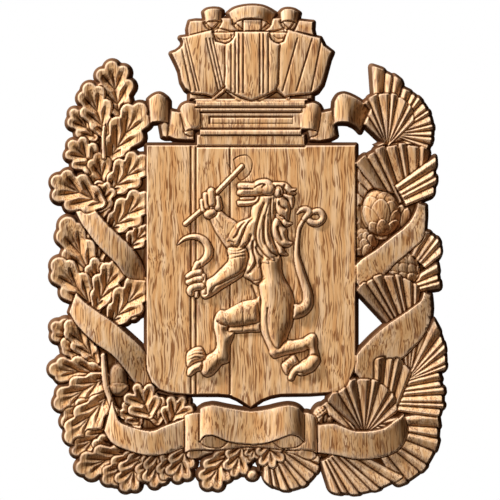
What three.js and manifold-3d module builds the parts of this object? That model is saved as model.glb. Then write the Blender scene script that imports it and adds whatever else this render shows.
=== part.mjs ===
// A coat of arms carved from one oak panel: a shield with a rampant lion, a town crown on its
// pedestal, a garland of oak leaves, sprays of ribbed fans with cones, and a ribbon round both.
// Sizes are millimetres. Everything is drawn as seen from the front, x to the right and y up, with
// z the height above the flat back; the last step turns it upright, so the back faces +Y and the
// carving faces -Y. The origin is on the back, behind the middle of the shield.

import * as THREE from 'three';
import { mergeVertices } from 'three/addons/utils/BufferGeometryUtils.js';
import Module from 'manifold-3d';

// Shield
const SHIELD_WIDTH = 208.5;
const SHIELD_MIDDLE = 1.25;
const SHIELD_TOP = 104.5;
const SHIELD_SIDE = 214;
const SHIELD_CORNER = 35;
const SHIELD_POINT = 12.5;
const SHIELD_LEVEL = 24.5;
const CORNER_STEPS = 5;
const CORNER_WIDTH = 0.8;
const POINT_CURVE = [[2.4, 0], [1.6, 0.12], [1, 0.36], [0.5, 0.68], [0, 1]];

// The sloping rim that every outline stands on, and the panel left between the leaves
const RIM = 3.2;
const WEB_LEVEL = 9;
const CHAMFER = 1.2;
const SHARPEST_CORNER = 0.6;

// Lion, from its lowest toe to the top of its mane; the rows below are drawn at DRAWN_HEIGHT
const LION_HEIGHT = 203;
const LION_DRAWN_HEIGHT = 203;
const LION_FOOT = -131;

// Limbs: rise as a share of the radius, the bend in radians that starts a new stretch, and the ends
const LIMB_FULLNESS = 0.6;
const FINGER_FULLNESS = 0.9;
const SHARP_BEND = 1.5;
const SLIM_LIMB = 6.4;
const LIMB_END = 0.85;
const LIMB_SINK = 1;
const SECTION = [[-1, null], [-0.55, 0.9], [0.55, 0.9], [1, null]];
const SLIM_SECTION = [[-1, null], [0, 1], [1, null]];

// What the lion holds up on the left: a sickle, its blade between two circles
const SICKLE_OUTER = { x: -53.5, y: -1, radius: 16.5, from: -82, to: 130 };
const SICKLE_INNER = { x: -57, y: -1.5, radius: 13.2, from: 120, to: -72 };
const SICKLE_STEPS = 6;
const SICKLE_RISE = 2.5;
const SICKLE_RIM = 0.3;

// Mane and head rise as mounds from the shield
const MOUND_SINK = 3;
const MOUND_SHARE = 0.8;
const MANE_EDGE = 2;
const MANE_RISE = 5.5;
const HEAD_EDGE = 3.5;
const HEAD_RISE = 7;

// Pedestal
const PEDESTAL_WIDTH = 103;
const PEDESTAL_MIDDLE = 1;
const PLINTH_HEIGHT = 12;
const PANEL_WIDTH = 80;
const PANEL_HEIGHT = 6;
const PANEL_DEPTH = 2;
const PANEL_RISE = 13.5;
const BODY_LEVEL = 24.5;

// Crown; the outlines below are drawn at CROWN_DRAWN_WIDTH
const CROWN_WIDTH = 160;
const CROWN_DRAWN_WIDTH = 160;
const CROWN_FOOT = 148;
const SIDE_SHIELD_LEVEL = 27;
const CENTRE_SHIELD_LEVEL = 30.5;
const SCROLL_LEVEL = 26;

// Leaves
const LEAF_TIP_SETBACK = 2.5;
const LONG_LEAF = 57;
const LEAF_TILT = 2;
const VEIN_DEPTH = 2.6;
const FIRST_ROOT = 0.04;
const ROOT_SPREAD = 0.62;
const FIRST_LOBE = 0.2;
const LOBE_SPREAD = 0.78;
const WIDEST_LOBE = 0.42;
const LOBE_FALL = 2.2;
const LOBE_SHARE = 0.42;
const LOBE_LIMIT = 0.12;
const LOBE_TAPER = 0.72;
const TIP_ROOT = 0.56;
const TIP_SHARE = 0.13;
const BLUNT_CAP = [-0.58, 0.58];
const SMALL_CAP = [0];
const NOTCH_NEAR = 0.12;
const NOTCH_FAR = 0.92;

// Fans
const FLUTE_DEPTH = 2.6;
const FAN_TILT = 2;
const BLADE_CROWN = 0.8;

// Cones: their middle lies low in the panel, so that they stand on the back
const CONE_MIDDLE = 6;
const CONE_ROWS = 3;
const CONE_SIDES = 7;
const CONE_REACH = 0.88;
const SCALE_LENGTH = 0.74;
const SCALE_STEP = 0.9;

// The acorn
const ACORN = [[-132, -120, 6.5], [-132, -132, 7.5]];
const ACORN_CUP = [[-132, -138, 8.5], [-132, -141, 7.5]];
const ACORN_LEVEL = 17;
const ACORN_FULLNESS = 0.8;

// Larger than the carving every way; it cuts off what would stand behind the back
const BEYOND = 1000;

const OAK_COLOUR = 0xc89a68;
const OAK_ROUGHNESS = 0.55;

const HALF_WIDTH = SHIELD_WIDTH / 2;
const SHIELD_LEFT = SHIELD_MIDDLE - HALF_WIDTH;
const SHIELD_RIGHT = SHIELD_MIDDLE + HALF_WIDTH;
const SHIELD_BASE = SHIELD_TOP - SHIELD_SIDE - SHIELD_CORNER;

// Each group of carving hangs on the shield's edge: it moves with the edge that it lies along.
const DRAWN = { left: -103, right: 105.5, top: 104.5, base: -144.5 };
const AT_LEFT = [SHIELD_LEFT - DRAWN.left, 0];
const AT_RIGHT = [SHIELD_RIGHT - DRAWN.right, 0];
const AT_TOP = [0, SHIELD_TOP - DRAWN.top];
const AT_BASE = [0, SHIELD_BASE - DRAWN.base];

// Oak leaves: base x y, tip x y, width to the left and right of the midrib, height
const GARLAND = [
  [-155, 112, -180, 142, 14, 14, 18],
  [-131, 138, -139, 191, 20, 20, 20],
  [-145, 117, -163, 169, 17, 17, 22],
  [-137, 95, -104, 148, 20, 19, 21],
  [-151, 80, -182, 110, 17, 17, 22],
  [-146, 60, -152, 100, 14, 14, 17],
  [-138, 60, -100, 95, 19, 17, 20],
  [-152, 30, -150, 72, 14, 14, 17],
  [-119, 3, -99, 27, 13, 11, 19],
  [-138, 21, -98, 58, 18, 17, 20],
  [-157, -31, -186, 35, 19, 18, 19],
  [-155, -59, -197, -7, 18, 17, 21],
  [-152, -55, -130, -8, 16, 15, 20],
  [-137, -71, -100, -26, 19, 17, 20],
  [-160, -98, -200, -72, 16, 15, 19],
  [-154, -110, -184, -68, 13, 13, 21],
  [-148, -124, -203, -118, 15, 16, 21],
  [-145, -128, -197, -158, 17, 17, 22],
  [-143, -147, -184, -194, 17, 17, 22],
  [-146, -182, -179, -205, 12, 12, 18],
  [-122, -203, -176, -220, 17, 17, 20],
  [-108, -204, -128, -243, 16, 16, 21],
  [-92, -204, -96, -240, 14, 14, 20],
  [-65, -200, -74, -234, 15, 15, 21],
  [-110, -172, -128, -150, 12, 12, 18],
  [-100, -165, -115, -131, 19, 18, 21],
  [-77, -170, -62, -146, 15, 14, 20],
];
const LEAF_OVER_RIBBON = [-149, 47, -200, 72, 22, 19, 27];
const BASE_LEAVES = [
  [-22, -203, -47, -240, 17, 16, 20],
  [-8, -195, -17, -229, 15, 15, 21],
  [20, -193, 24, -216, 13, 13, 22],
];

// Fans: pivot x y, first and last angle, number of blades, reach of the first, middle and last blade,
// inner radius, height
const SPRAYS = [
  [128, 82, 94, 75, 3, 102, 96, 90, 60, 19],
  [142, 115, 76, -20, 9, 47, 42, 38, 12, 20],
  [137, 103, 137, 42, 9, 43, 53, 36, 6, 23],
  [166, 10, 129, 82, 8, 97, 98, 90, 48, 22],
  [158, -132, 100, 66, 4, 34, 50, 56, 8, 17],
  [130, -48, 32, 9, 3, 66, 62, 60, 34, 20],
  [147, -39, 68, 37, 4, 62, 64, 55, 34, 22],
  [163, -102, 133, 84, 10, 84, 82, 63, 26, 22],
  [73, 12, 36, 21, 4, 137, 127, 119, 88, 27],
  [80, -150, 14, -7, 6, 110, 113, 110, 66, 20],
  [156, -132, 64, 18, 5, 62, 49, 38, 6, 21],
  [110, -178, 9, -52, 7, 76, 78, 73, 38, 20],
  [60, -178, -72, -27, 7, 66, 84, 104, 34, 20],
  [16, -188, -94, -18, 8, 40, 59, 57, 18, 19],
  [125, -212, 91, 68, 4, 102, 106, 98, 60, 23],
  [114, -184, 138, 34, 10, 50, 56, 40, 6, 24],
];

// Cones: centre x y, turn in degrees, half length, half width, height
const CONES = [
  [129, 40, -80, 25, 20, 23],
  [112, 8, 90, 13, 12, 21],
  [152, -18, 90, 13, 15, 21],
  [70, -162, 90, 9, 8, 20],
];

// Ribbon: each row is a point on either edge and the height there
const RIBBON_LEFT = [
  [
    [-167, 47, -175, 41, 24], [-160, 44, -168, 27, 27], [-154, 40, -163, 20, 28],
    [-140, 24, -150, 3, 29], [-120, 5, -132, -15, 28], [-110, -8, -122, -27, 25],
    [-104, -22, -104, -30, 21],
  ],
  [
    [-173, -43, -180, -62, 26], [-160, -55, -171, -76, 28], [-137, -71, -155, -92, 29],
    [-120, -85, -138, -104, 28], [-105, -100, -125, -118, 26], [-100, -115, -115, -134, 23],
  ],
];
const RIBBON_RIGHT = [
  [
    [167, 47, 175, 44, 21], [163, 35, 175, 30, 24], [155, 24, 172, 12, 28],
    [140, 12, 158, -2, 29], [125, 0, 145, -13, 28], [106, -14, 132, -26, 26],
    [104, -30, 112, -42, 24],
  ],
  [
    [173, -42, 180, -45, 21], [170, -50, 181, -60, 25], [160, -58, 178, -75, 28],
    [150, -65, 169, -90, 29], [135, -75, 158, -102, 29], [118, -90, 146, -113, 28],
    [105, -106, 134, -125, 26], [104, -122, 120, -140, 24],
  ],
];
const RIBBON_BASE = [
  [
    [-137, -150, -145, -180, 24], [-132, -165, -137, -192, 27], [-125, -173, -122, -199, 29],
    [-100, -180, -103, -204, 29], [-85, -175, -85, -203, 27], [-65, -168, -65, -196, 23],
  ],
  [
    [67, -174, 68, -202, 23], [85, -173, 85, -204, 27], [105, -180, 107, -208, 29],
    [130, -178, 132, -206, 28], [145, -169, 150, -197, 26], [153, -163, 158, -180, 22],
  ],
];
const BOW = [
  [
    [-65, -165, -65, -202, 22], [-60, -163, -60, -200, 25], [-48, -163, -48, -199, 24],
    [-30, -180, -30, -199, 22], [0, -182, 0, -196, 20], [35, -180, 35, -199, 22],
    [52, -163, 52, -199, 24], [61, -163, 61, -200, 25], [67, -168, 67, -203, 22],
  ],
  [[-63, -203, -63, -206, 22], [-56, -199, -56, -208, 21], [-37, -201, -37, -203, 18]],
  [[37, -200, 37, -202, 18], [57, -199, 57, -208.5, 21], [66.5, -203, 66.5, -206, 22]],
  [[-50, -187, -50, -191, 24], [-38, -183, -38, -196.5, 23], [-22, -189, -23, -193, 21]],
  [[23, -189, 24, -193, 21], [40, -183, 40, -197, 23], [54, -187, 54, -191, 24]],
  [
    [-50, -158, -50, -191, 26], [-46, -155.5, -46, -185.5, 30], [-35, -154, -35, -184.5, 32.5],
    [-20, -157, -20, -190.5, 30.5], [0, -160, 0, -193, 29], [15, -158.5, 15, -192, 30],
    [30, -155, 30, -187, 33], [40, -154, 40, -183.5, 33], [48, -156.5, 48, -185, 30],
    [54, -163, 54, -191, 25],
  ],
];
const SCROLLS = [
  [
    [-101, 150, -99, 126, 23], [-96, 154, -96, 127, 27], [-90, 155.5, -90, 127.5, 28],
    [-84, 152, -85, 127, 26], [-81, 148, -81, 126, 23],
  ],
  [[-89, 124, -87, 113, 21], [-84, 127, -84, 112, 22], [-78, 121, -81, 112, 22]],
  [[-79, 139, -84, 113, 21], [-75, 138, -75, 110.5, 23], [-54, 137, -55, 109.5, 22]],
  [
    [-70, 140, -62, 114.5, 23], [-67, 144.5, -60, 118, 27], [-60, 146.5, -57, 119.5, 28],
    [-50, 144, -51, 119.5, 25],
  ],
  [
    [120, 140, 110, 118, 17], [112, 147, 105, 123, 22], [103, 152.5, 100, 125.5, 26],
    [95, 155.5, 98, 126.5, 28], [87, 153, 86, 126, 26], [84, 148, 82, 121, 23],
  ],
  [[82, 139, 88, 114, 21], [77, 138, 80, 110, 23], [58, 137, 59, 110, 22]],
  [
    [71, 140, 68, 117, 23], [68, 144.5, 63, 119, 27], [61, 146.5, 57, 119.5, 28],
    [51, 143, 51, 120, 25],
  ],
];

// The panel left at a low level between the leaves, and between the fans
const LEFT_PANEL = [
  [-132, 175], [-150, 155], [-165, 130], [-168, 100], [-165, 60], [-172, 45], [-160, 30],
  [-178, 20], [-174, -62], [-184, -120], [-165, -190], [-130, -222], [-62, -212], [-60, -150],
  [-104, -140], [-135, -118], [-128, -70], [-104, -50], [-104, 92], [-125, 100], [-115, 135],
];
const RIGHT_PANEL = [
  [135, 150], [150, 160], [170, 130], [172, 100], [178, 60], [165, 40], [170, 20], [185, 10],
  [182, -30], [172, -50], [178, -70], [185, -120], [185, -160], [175, -200], [155, -230],
  [90, -235], [70, -205], [66, -215], [40, -230], [10, -220], [10, -195], [75, -190], [78, -160],
  [96, -145], [104, -125], [112, -110], [140, -75], [150, -60], [104, -30], [104, 84], [112, 92],
  [134, 100],
];

// Lion: each limb is rows of x, y and radius, then its height above the shield and its fullness
const LIMBS = [
  { name: 'tail', rows: [[43, -61, 7.5], [54, -58, 6.4], [57.5, -46, 4.8], [54, -32, 4.2]] },
  {
    name: 'tail tuft',
    rows: [[55, -36, 4.4], [47, -8, 3], [48, 17, 2.2], [54, 31, 2.2], [60, 37, 3], [51, 40, 2]],
  },
  { name: 'tail loop', rows: [[55, 31, 2.2], [63, 26, 3], [72, 29, 3], [72, 37, 3], [61, 38, 2.4]] },
  { name: 'standing shank', rows: [[24, -100, 6.5], [45, -96, 6.5], [60, -91, 6.5]] },
  { name: 'standing foot', rows: [[60, -91, 6.3], [62, -105, 5.5], [60, -115, 6.3], [50, -119, 5]] },
  {
    name: 'trunk',
    rows: [[12, -5, 16], [20, -25, 13], [24, -45, 14], [27, -65, 16.5], [28, -85, 13], [27, -97, 9]],
    fullness: 0.45,
  },
  { name: 'far thigh', rows: [[8, -76, 6.3], [-10, -76, 6], [-25, -72, 6.3]] },
  { name: 'raised thigh', rows: [[12, -60, 11], [-25, -67, 8]], rise: 0.6, fullness: 0.5 },
  { name: 'raised shank', rows: [[-27, -66, 8], [-27, -100, 7.5], [-40, -114, 9]], rise: 1 },
  { name: 'upper toe', rows: [[-45, -103, 6], [-56, -104, 6], [-60, -111, 3.5]], rise: 1 },
  { name: 'lower toe', rows: [[-46, -116, 5], [-56, -118, 5.5], [-60, -120, 4]], rise: 1 },
  { name: 'upper arm', rows: [[-36, 36, 5], [-20, 12, 10], [-12, 4, 10]] },
  { name: 'lower arm', rows: [[-8, -8, 9], [-18, -19, 10], [-41, -38, 8.5]], rise: 0.5 },
  { name: 'lower rod', rows: [[-64.5, 25.5, 2], [-51, 38, 2]], fullness: 1 },
  { name: 'upper rod', rows: [[-35, 56, 2], [-7.5, 83.5, 2]], fullness: 1 },
  { name: 'upper hand', rows: [[-42, 35.5, 5], [-34, 50, 5]], fullness: 0.8 },
  { name: 'sickle handle', rows: [[-50, -14, 2], [-54, -47, 2]], fullness: 1 },
];
const FINGERS = [
  [[-51, 50, 2.5], [-49, 38, 2.5]],
  [[-46, 56, 2.6], [-43, 44, 2.6]],
  [[-39.5, 59, 3.2], [-38, 47, 3.2]],
  [[-50, -36, 4], [-59, -40, 4]],
  [[-50, -28, 3.5], [-60, -31, 3.5]],
  [[-50, -21, 3.3], [-61, -25, 3.3]],
  [[-47, -28, 4], [-46, -40, 4]],
  [[45, -110, 3.5], [35, -117, 3.5]],
  [[44, -117, 3], [36, -123, 3]],
  [[48, -121, 3], [41, -129, 3]],
];
const FINGER_RISE = 1.5;
const MANE = [
  [23, 67], [36, 67], [47, 61], [42, 53], [44, 46], [39.5, 33], [43, 26], [37, 18], [43, 7],
  [36, 3], [37.5, -5], [19, -13], [6, -12], [-3, -23], [-12, -12], [-20, 4], [-12, 25], [4, 46],
];
const LOCKS = [
  [[13, 50, 3], [7, 28, 4], [15, -8, 1.6]],
  [[21, 52, 3], [20, 25, 4], [29, -3, 1.6]],
  [[30, 56, 3.4], [31, 30, 4], [40, 8, 1.6]],
  [[3, 42, 2.6], [-5, 20, 3.8], [-3, -10, 1.6]],
  [[-8, 28, 2], [-15, 12, 3], [-14, -2, 1.4]],
];
const LOCK_RISE = 4;
const HEAD = [
  [-12, 63], [-11, 66], [3, 66.5], [11, 70], [18, 70], [26, 64], [25, 52], [18, 48], [3, 45],
  [-12, 43], [-12, 48], [2, 53], [-12, 54.5],
];
const FACE = [
  { name: 'nose', rows: [[-9, 63.5, 2.8], [3, 64, 2.8]] },
  { name: 'lip', rows: [[-9, 57.5, 3], [8, 57.5, 3]] },
  { name: 'jaw', rows: [[-9, 47, 2.6], [6, 49, 2.6]] },
  { name: 'brow', rows: [[5, 64.5, 1.6], [12, 67, 1.8], [18, 66, 1.6]] },
  { name: 'ear', rows: [[27, 58.5, 4.4], [27, 56.5, 4.4]] },
];
const FACE_RISE = 5.7;

// Pedestal mouldings: how far each stands out from the pedestal's width, bottom, top and level
const MOULDINGS = [
  [2, 0, 12, 25],
  [-1, 11, 17, 27],
  [-1.5, 34, 40, 27],
  [3, 39, 45.5, 29],
  [5.5, 45, 49, 28],
];
const BODY = [-4, 16, 35];

// Crown: shields in front, and behind them the tower tops, each an outline and its level
const CROWN_LEFT = [
  [-78, 197], [-67, 203.5], [-69.5, 211], [-60, 213], [-38, 218.5], [-25, 165], [-37, 152],
  [-58, 155.5], [-68, 167], [-70, 178],
];
const CROWN_RIGHT = [
  [38, 219], [70, 211], [74, 203], [82, 197], [75, 175], [72, 165], [60, 155], [35, 152], [26, 161],
  [30, 200],
];
const CROWN_CENTRE = [
  [-15, 217], [-23.5, 200], [-25, 165], [-20, 157], [1.5, 148], [25, 158], [28, 165], [27, 200],
  [19, 217],
];
const CROWN_SCROLL = [
  [-20, 237], [-14, 240], [0, 243], [8, 242.5], [23, 235], [18, 226], [5, 229], [-5, 229],
  [-15, 225],
];
const TOWER_TOPS = [
  { outline: [[-29, 212], [-18, 212], [-18, 229], [-29, 229]], level: 22 },
  { outline: [[22, 212], [31, 212], [31, 228], [22, 228]], level: 22 },
  { outline: [[-60, 227], [-45, 229], [-38, 217], [-61, 211]], level: 21 },
  { outline: [[49, 228], [63, 227], [64, 211], [44, 217]], level: 21 },
  { outline: [[-45, 237], [-38, 240], [-30, 239.5], [-29, 228], [-43, 225]], level: 25 },
  { outline: [[32, 238], [38, 240], [48, 236], [46, 226], [32, 228]], level: 25 },
];
const CROWN_BACK = [
  { outline: [[-36, 205], [38, 205], [38, 226], [-36, 226]], level: 18 },
  { outline: [[-60, 150], [62, 150], [62, 175], [-60, 175]], level: 20 },
];

const wasm = await Module();
wasm.setup();

// A closed body from its corner points and faces.
function body(points, faces) {
  const geometry = new THREE.BufferGeometry();
  geometry.setAttribute('position', new THREE.Float32BufferAttribute(points.flat(), 3));
  geometry.setIndex(faces.flat());
  return geometry;
}

function solid(piece) {
  if (!piece.isBufferGeometry) {
    return piece;
  }
  const geometry = piece.clone();
  geometry.deleteAttribute('normal');
  geometry.deleteAttribute('uv');
  const merged = mergeVertices(geometry);
  return new wasm.Manifold(new wasm.Mesh({
    numProp: 3,
    vertProperties: new Float32Array(merged.attributes.position.array),
    triVerts: new Uint32Array(merged.index.array),
  }));
}

const join = (pieces) => pieces.map(solid).reduce((sum, piece) => sum.add(piece));

// Faces between rings of equal length, the first at the back, each counterclockwise from the front.
function sides(ringCount, size) {
  const faces = [];
  for (let k = 0; k + 1 < ringCount; k += 1) {
    for (let i = 0; i < size; i += 1) {
      const a = k * size + i;
      const b = k * size + ((i + 1) % size);
      faces.push([a, b, b + size], [a, b + size, a + size]);
    }
  }
  return faces;
}

const turned = (faces) => faces.map(([a, b, c]) => [a, c, b]);

const flatPoints = (outline) => outline.map((point) => new THREE.Vector2(point[0], point[1]));

function cover(outline, offset) {
  const faces = THREE.ShapeUtils.triangulateShape(flatPoints(outline), []);
  return faces.map((face) => face.map((index) => index + offset));
}

function counterclockwise(outline) {
  return THREE.ShapeUtils.isClockWise(flatPoints(outline)) ? [...outline].reverse() : outline;
}

// The outline moved outwards by a distance, corner by corner.
function grown(outline, distance) {
  const count = outline.length;
  return outline.map((point, i) => {
    const before = outline[(i + count - 1) % count];
    const after = outline[(i + 1) % count];
    const a = new THREE.Vector2(point[0] - before[0], point[1] - before[1]).normalize();
    const b = new THREE.Vector2(after[0] - point[0], after[1] - point[1]).normalize();
    const out = new THREE.Vector2(a.y + b.y, -a.x - b.x).normalize();
    const reach = distance / Math.max(out.x * a.y - out.y * a.x, SHARPEST_CORNER);
    return [point[0] + out.x * reach, point[1] + out.y * reach];
  });
}

const lift = (outline, height) => outline.map((point) => [point[0], point[1], height]);

const moved = (outline, shift) => outline.map(([x, y]) => [x + shift[0], y + shift[1]]);

// Rings one above the other, closed with a flat face at the back and at the front.
function stacked(rings) {
  const size = rings[0].length;
  const last = rings.length - 1;
  return body(rings.flat(), [
    ...sides(rings.length, size),
    ...turned(cover(rings[0], 0)),
    ...cover(rings[last], last * size),
  ]);
}

// A flat piece: it slopes out to the rim at the back and has a chamfer round its face.
function plate(outline, level, chamfer = CHAMFER, rim = RIM) {
  const face = counterclockwise(outline);
  const rings = [lift(grown(face, rim), 0), lift(face, level - chamfer)];
  if (chamfer > 0) {
    rings.push(lift(grown(face, -chamfer), level));
  }
  return stacked(rings);
}

function web(outline) {
  const face = counterclockwise(outline);
  return stacked([lift(face, 0), lift(face, WEB_LEVEL)]);
}

// A swelling piece on the shield: its outline drawn in towards the middle as it rises.
function mound(outline, edge, rise) {
  const face = counterclockwise(outline);
  const x = face.reduce((sum, point) => sum + point[0], 0) / face.length;
  const y = face.reduce((sum, point) => sum + point[1], 0) / face.length;
  const drawnIn = face.map((point) => [
    x + (point[0] - x) * MOUND_SHARE,
    y + (point[1] - y) * MOUND_SHARE,
  ]);
  return stacked([
    lift(face, SHIELD_LEVEL - MOUND_SINK),
    lift(face, SHIELD_LEVEL + edge),
    lift(drawnIn, SHIELD_LEVEL + rise),
  ]);
}

// The lobes of one leaf, lying along +x from its base, in counterclockwise order.
function leafLobes(length, left, right, pairs) {
  const row = (width, side) => {
    const radius = Math.min(LOBE_SHARE * width, LOBE_LIMIT * length + RIM / 2);
    return Array.from({ length: pairs }, (unused, k) => {
      const share = (k + 0.5) / pairs;
      const reach = width * (1 - LOBE_FALL * (share - WIDEST_LOBE) ** 2) - radius;
      return {
        root: [length * (FIRST_ROOT + ROOT_SPREAD * (k / pairs)), 0],
        end: [length * (FIRST_LOBE + LOBE_SPREAD * share), side * reach],
        radius,
      };
    });
  };
  const radius = TIP_SHARE * length;
  const tip = { root: [length * TIP_ROOT, 0], end: [length - radius, 0], radius };
  return [...row(right, -1), tip, ...row(left, 1).reverse()];
}

// One side of a lobe, made wider by grow: from beside its root to beside its end.
function lobeSide(lobe, side, grow) {
  const dx = lobe.end[0] - lobe.root[0];
  const dy = lobe.end[1] - lobe.root[1];
  const size = Math.hypot(dx, dy);
  const normal = [(-dy / size) * side, (dx / size) * side];
  const narrow = lobe.radius * LOBE_TAPER + grow;
  const wide = lobe.radius + grow;
  return [
    [lobe.root[0] + normal[0] * narrow, lobe.root[1] + normal[1] * narrow],
    [lobe.end[0] + normal[0] * wide, lobe.end[1] + normal[1] * wide],
  ];
}

// Where the line through a and b meets the line through c and d, kept between those points.
function meeting(a, b, c, d) {
  const ab = new THREE.Vector2(b[0] - a[0], b[1] - a[1]);
  const cd = new THREE.Vector2(d[0] - c[0], d[1] - c[1]);
  const ac = new THREE.Vector2(c[0] - a[0], c[1] - a[1]);
  const slant = ab.cross(cd);
  const kept = (share) => THREE.MathUtils.clamp(share, NOTCH_NEAR, NOTCH_FAR);
  const s = kept(slant === 0 ? 0 : ac.cross(cd) / slant);
  const t = kept(slant === 0 ? 0 : ac.cross(ab) / slant);
  return [
    (a[0] + ab.x * s + c[0] + cd.x * t) / 2,
    (a[1] + ab.y * s + c[1] + cd.y * t) / 2,
  ];
}

// The notch between two lobes: where their round ends cross, or else where their sides meet.
function notch(one, two, grow) {
  const e = [two.end[0] - one.end[0], two.end[1] - one.end[1]];
  const apart = Math.hypot(e[0], e[1]);
  const r = one.radius + grow;
  const q = two.radius + grow;
  if (apart >= r + q) {
    return { round: false, at: meeting(...lobeSide(one, 1, grow), ...lobeSide(two, -1, grow)) };
  }
  const along = (r * r - q * q + apart * apart) / (2 * apart);
  const out = Math.sqrt(Math.max(r * r - along * along, 0));
  return {
    round: true,
    at: [
      one.end[0] + (e[0] * along + e[1] * out) / apart,
      one.end[1] + (e[1] * along - e[0] * out) / apart,
    ],
  };
}

// The leaf's outline with every lobe made wider by grow: base, then notches and rounded ends by turns.
function leafOutline(lobes, caps, grow) {
  const notches = lobes.slice(1).map((lobe, i) => notch(lobes[i], lobe, grow));
  const outline = [[-grow, 0]];
  lobes.forEach((lobe, i) => {
    const turn = Math.atan2(lobe.end[1] - lobe.root[1], lobe.end[0] - lobe.root[0]);
    const swing = (next, side) => {
      if (!next || !next.round) {
        return side * (Math.PI / 2);
      }
      const angle = Math.atan2(next.at[1] - lobe.end[1], next.at[0] - lobe.end[0]) - turn;
      return Math.atan2(Math.sin(angle), Math.cos(angle));
    };
    const from = swing(notches[i - 1], -1);
    const to = swing(notches[i], 1);
    outline.push(i === 0 ? lobeSide(lobe, -1, grow)[0] : notches[i - 1].at);
    caps.forEach((share) => {
      const angle = turn + (share < 0 ? -share * from : share * to);
      const reach = lobe.radius + grow;
      outline.push([
        lobe.end[0] + Math.cos(angle) * reach,
        lobe.end[1] + Math.sin(angle) * reach,
      ]);
    });
  });
  outline.push(lobeSide(lobes[lobes.length - 1], 1, grow)[0]);
  return outline;
}

// The leaf's skin: a fan of faces for each lobe, from its root on the midrib to its outline.
function leafSkin(lobes, roots, points, outlineStart, veinStart) {
  const faces = [];
  const rootOf = (lobe) => veinStart + roots.indexOf(lobe.root[0]);
  lobes.forEach((lobe, i) => {
    const from = outlineStart + 1 + i * points;
    const root = rootOf(lobe);
    for (let k = 0; k < points; k += 1) {
      faces.push([root, from + k, from + k + 1]);
    }
    const next = lobes[i + 1];
    if (next && rootOf(next) !== root) {
      faces.push([root, from + points, rootOf(next)]);
    }
  });
  faces.push([outlineStart, outlineStart + 1, veinStart]);
  faces.push([outlineStart, veinStart, outlineStart + 1 + lobes.length * points]);
  return faces;
}

// An oak leaf: a raised lobe for every side vein and one at the tip, and a groove along the midrib.
function leaf([x0, y0, x1, y1, left, right, level], shift) {
  const length = Math.hypot(x1 - x0, y1 - y0) - LEAF_TIP_SETBACK;
  const pairs = length > LONG_LEAF ? 3 : 2;
  const caps = length > LONG_LEAF ? BLUNT_CAP : SMALL_CAP;
  const perLobe = caps.length + 1;
  const lobes = leafLobes(length, left, right, pairs);
  const foot = leafOutline(lobes, caps, RIM);
  const rim = leafOutline(lobes, caps, 0);
  const height = (u) => level + LEAF_TILT * (u / length - 0.5);
  const isNotch = (i) => i === 0 || (i - 1) % perLobe === 0;
  const edge = rim.map(([u, v], i) => [u, v, height(u) - (isNotch(i) ? VEIN_DEPTH : 0)]);
  const roots = [...new Set(lobes.map((lobe) => lobe.root[0]))].sort((a, b) => a - b);
  const veins = roots.map((u) => [u, 0, height(u) - VEIN_DEPTH]);
  const size = rim.length;
  const faces = [
    ...sides(2, size),
    ...turned(leafSkin(lobes, roots, perLobe, 0, 2 * size)),
    ...leafSkin(lobes, roots, perLobe, size, 2 * size + veins.length),
  ];
  return body([...lift(foot, 0), ...edge, ...lift(veins, 0), ...veins], faces)
    .rotateZ(Math.atan2(y1 - y0, x1 - x0))
    .translate(x0 + shift[0], y0 + shift[1], 0);
}

// A fan of fluted blades round a pivot. The reach follows a parabola from the first blade to the last.
function fan([x, y, start, end, blades, first, middle, last, inner, level], shift) {
  const from = Math.min(start, end);
  const to = Math.max(start, end);
  const reachAt = (share) => {
    const s = end > start ? share : 1 - share;
    return 2 * (s - 0.5) * (s - 1) * first + 4 * s * (1 - s) * middle + 2 * s * (s - 0.5) * last;
  };
  const at = (radius, angle, height) => {
    const a = THREE.MathUtils.degToRad(angle);
    return [x + shift[0] + radius * Math.cos(a), y + shift[1] + radius * Math.sin(a), height];
  };
  const step = (to - from) / blades;
  const outerRim = THREE.MathUtils.radToDeg(RIM / Math.max(first, middle));
  const spread = (k) => (k === blades ? 1 : 0) - (k === 0 ? 1 : 0);
  const face = [];
  const foot = [];
  for (let k = 0; k <= blades; k += 1) {
    const angle = from + step * k;
    const reach = reachAt(THREE.MathUtils.clamp(k / blades, 0.5 / blades, 1 - 0.5 / blades));
    face.push(at(reach, angle, level + FAN_TILT - FLUTE_DEPTH));
    foot.push(at(reach + RIM, angle + spread(k) * outerRim, 0));
    if (k < blades) {
      const ridge = reachAt((k + 0.5) / blades) + BLADE_CROWN;
      face.push(at(ridge, angle + step / 2, level + FAN_TILT));
      foot.push(at(ridge + RIM, angle + step / 2, 0));
    }
  }
  const outer = face.length;
  for (let k = blades; k >= 0; k -= 1) {
    const angle = from + step * k;
    face.push(at(inner, angle, level - FAN_TILT));
    foot.push(at(Math.max(inner - RIM, 1), angle + 2 * spread(k) * outerRim, 0));
  }
  const size = face.length;
  const skin = (ring) => Array.from({ length: blades }, (unused, k) => {
    const near = ring + outer + blades - k;
    const valley = ring + 2 * k;
    return [
      [near, valley, valley + 1], [near, valley + 1, near - 1], [near - 1, valley + 1, valley + 2],
    ];
  }).flat();
  return body([...foot, ...face], [...sides(2, size), ...skin(size), ...turned(skin(0))]);
}

// A ribbon between two edges.
function ribbon(rows, shift) {
  const one = rows.map((row) => [row[0] + shift[0], row[1] + shift[1], row[4]]);
  const two = rows.map((row) => [row[2] + shift[0], row[3] + shift[1], row[4]]);
  const face = counterclockwise([...one, ...two.reverse()]);
  const foot = lift(grown(face, RIM), 0);
  const size = face.length;
  const faces = [...sides(2, size), ...turned(cover(foot, 0))];
  for (let i = 0; i + 1 < rows.length; i += 1) {
    const near = size + i;
    const far = size + size - 1 - i;
    faces.push([near, near + 1, far - 1], [near, far - 1, far]);
  }
  return body([...foot, ...face], faces);
}

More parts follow.
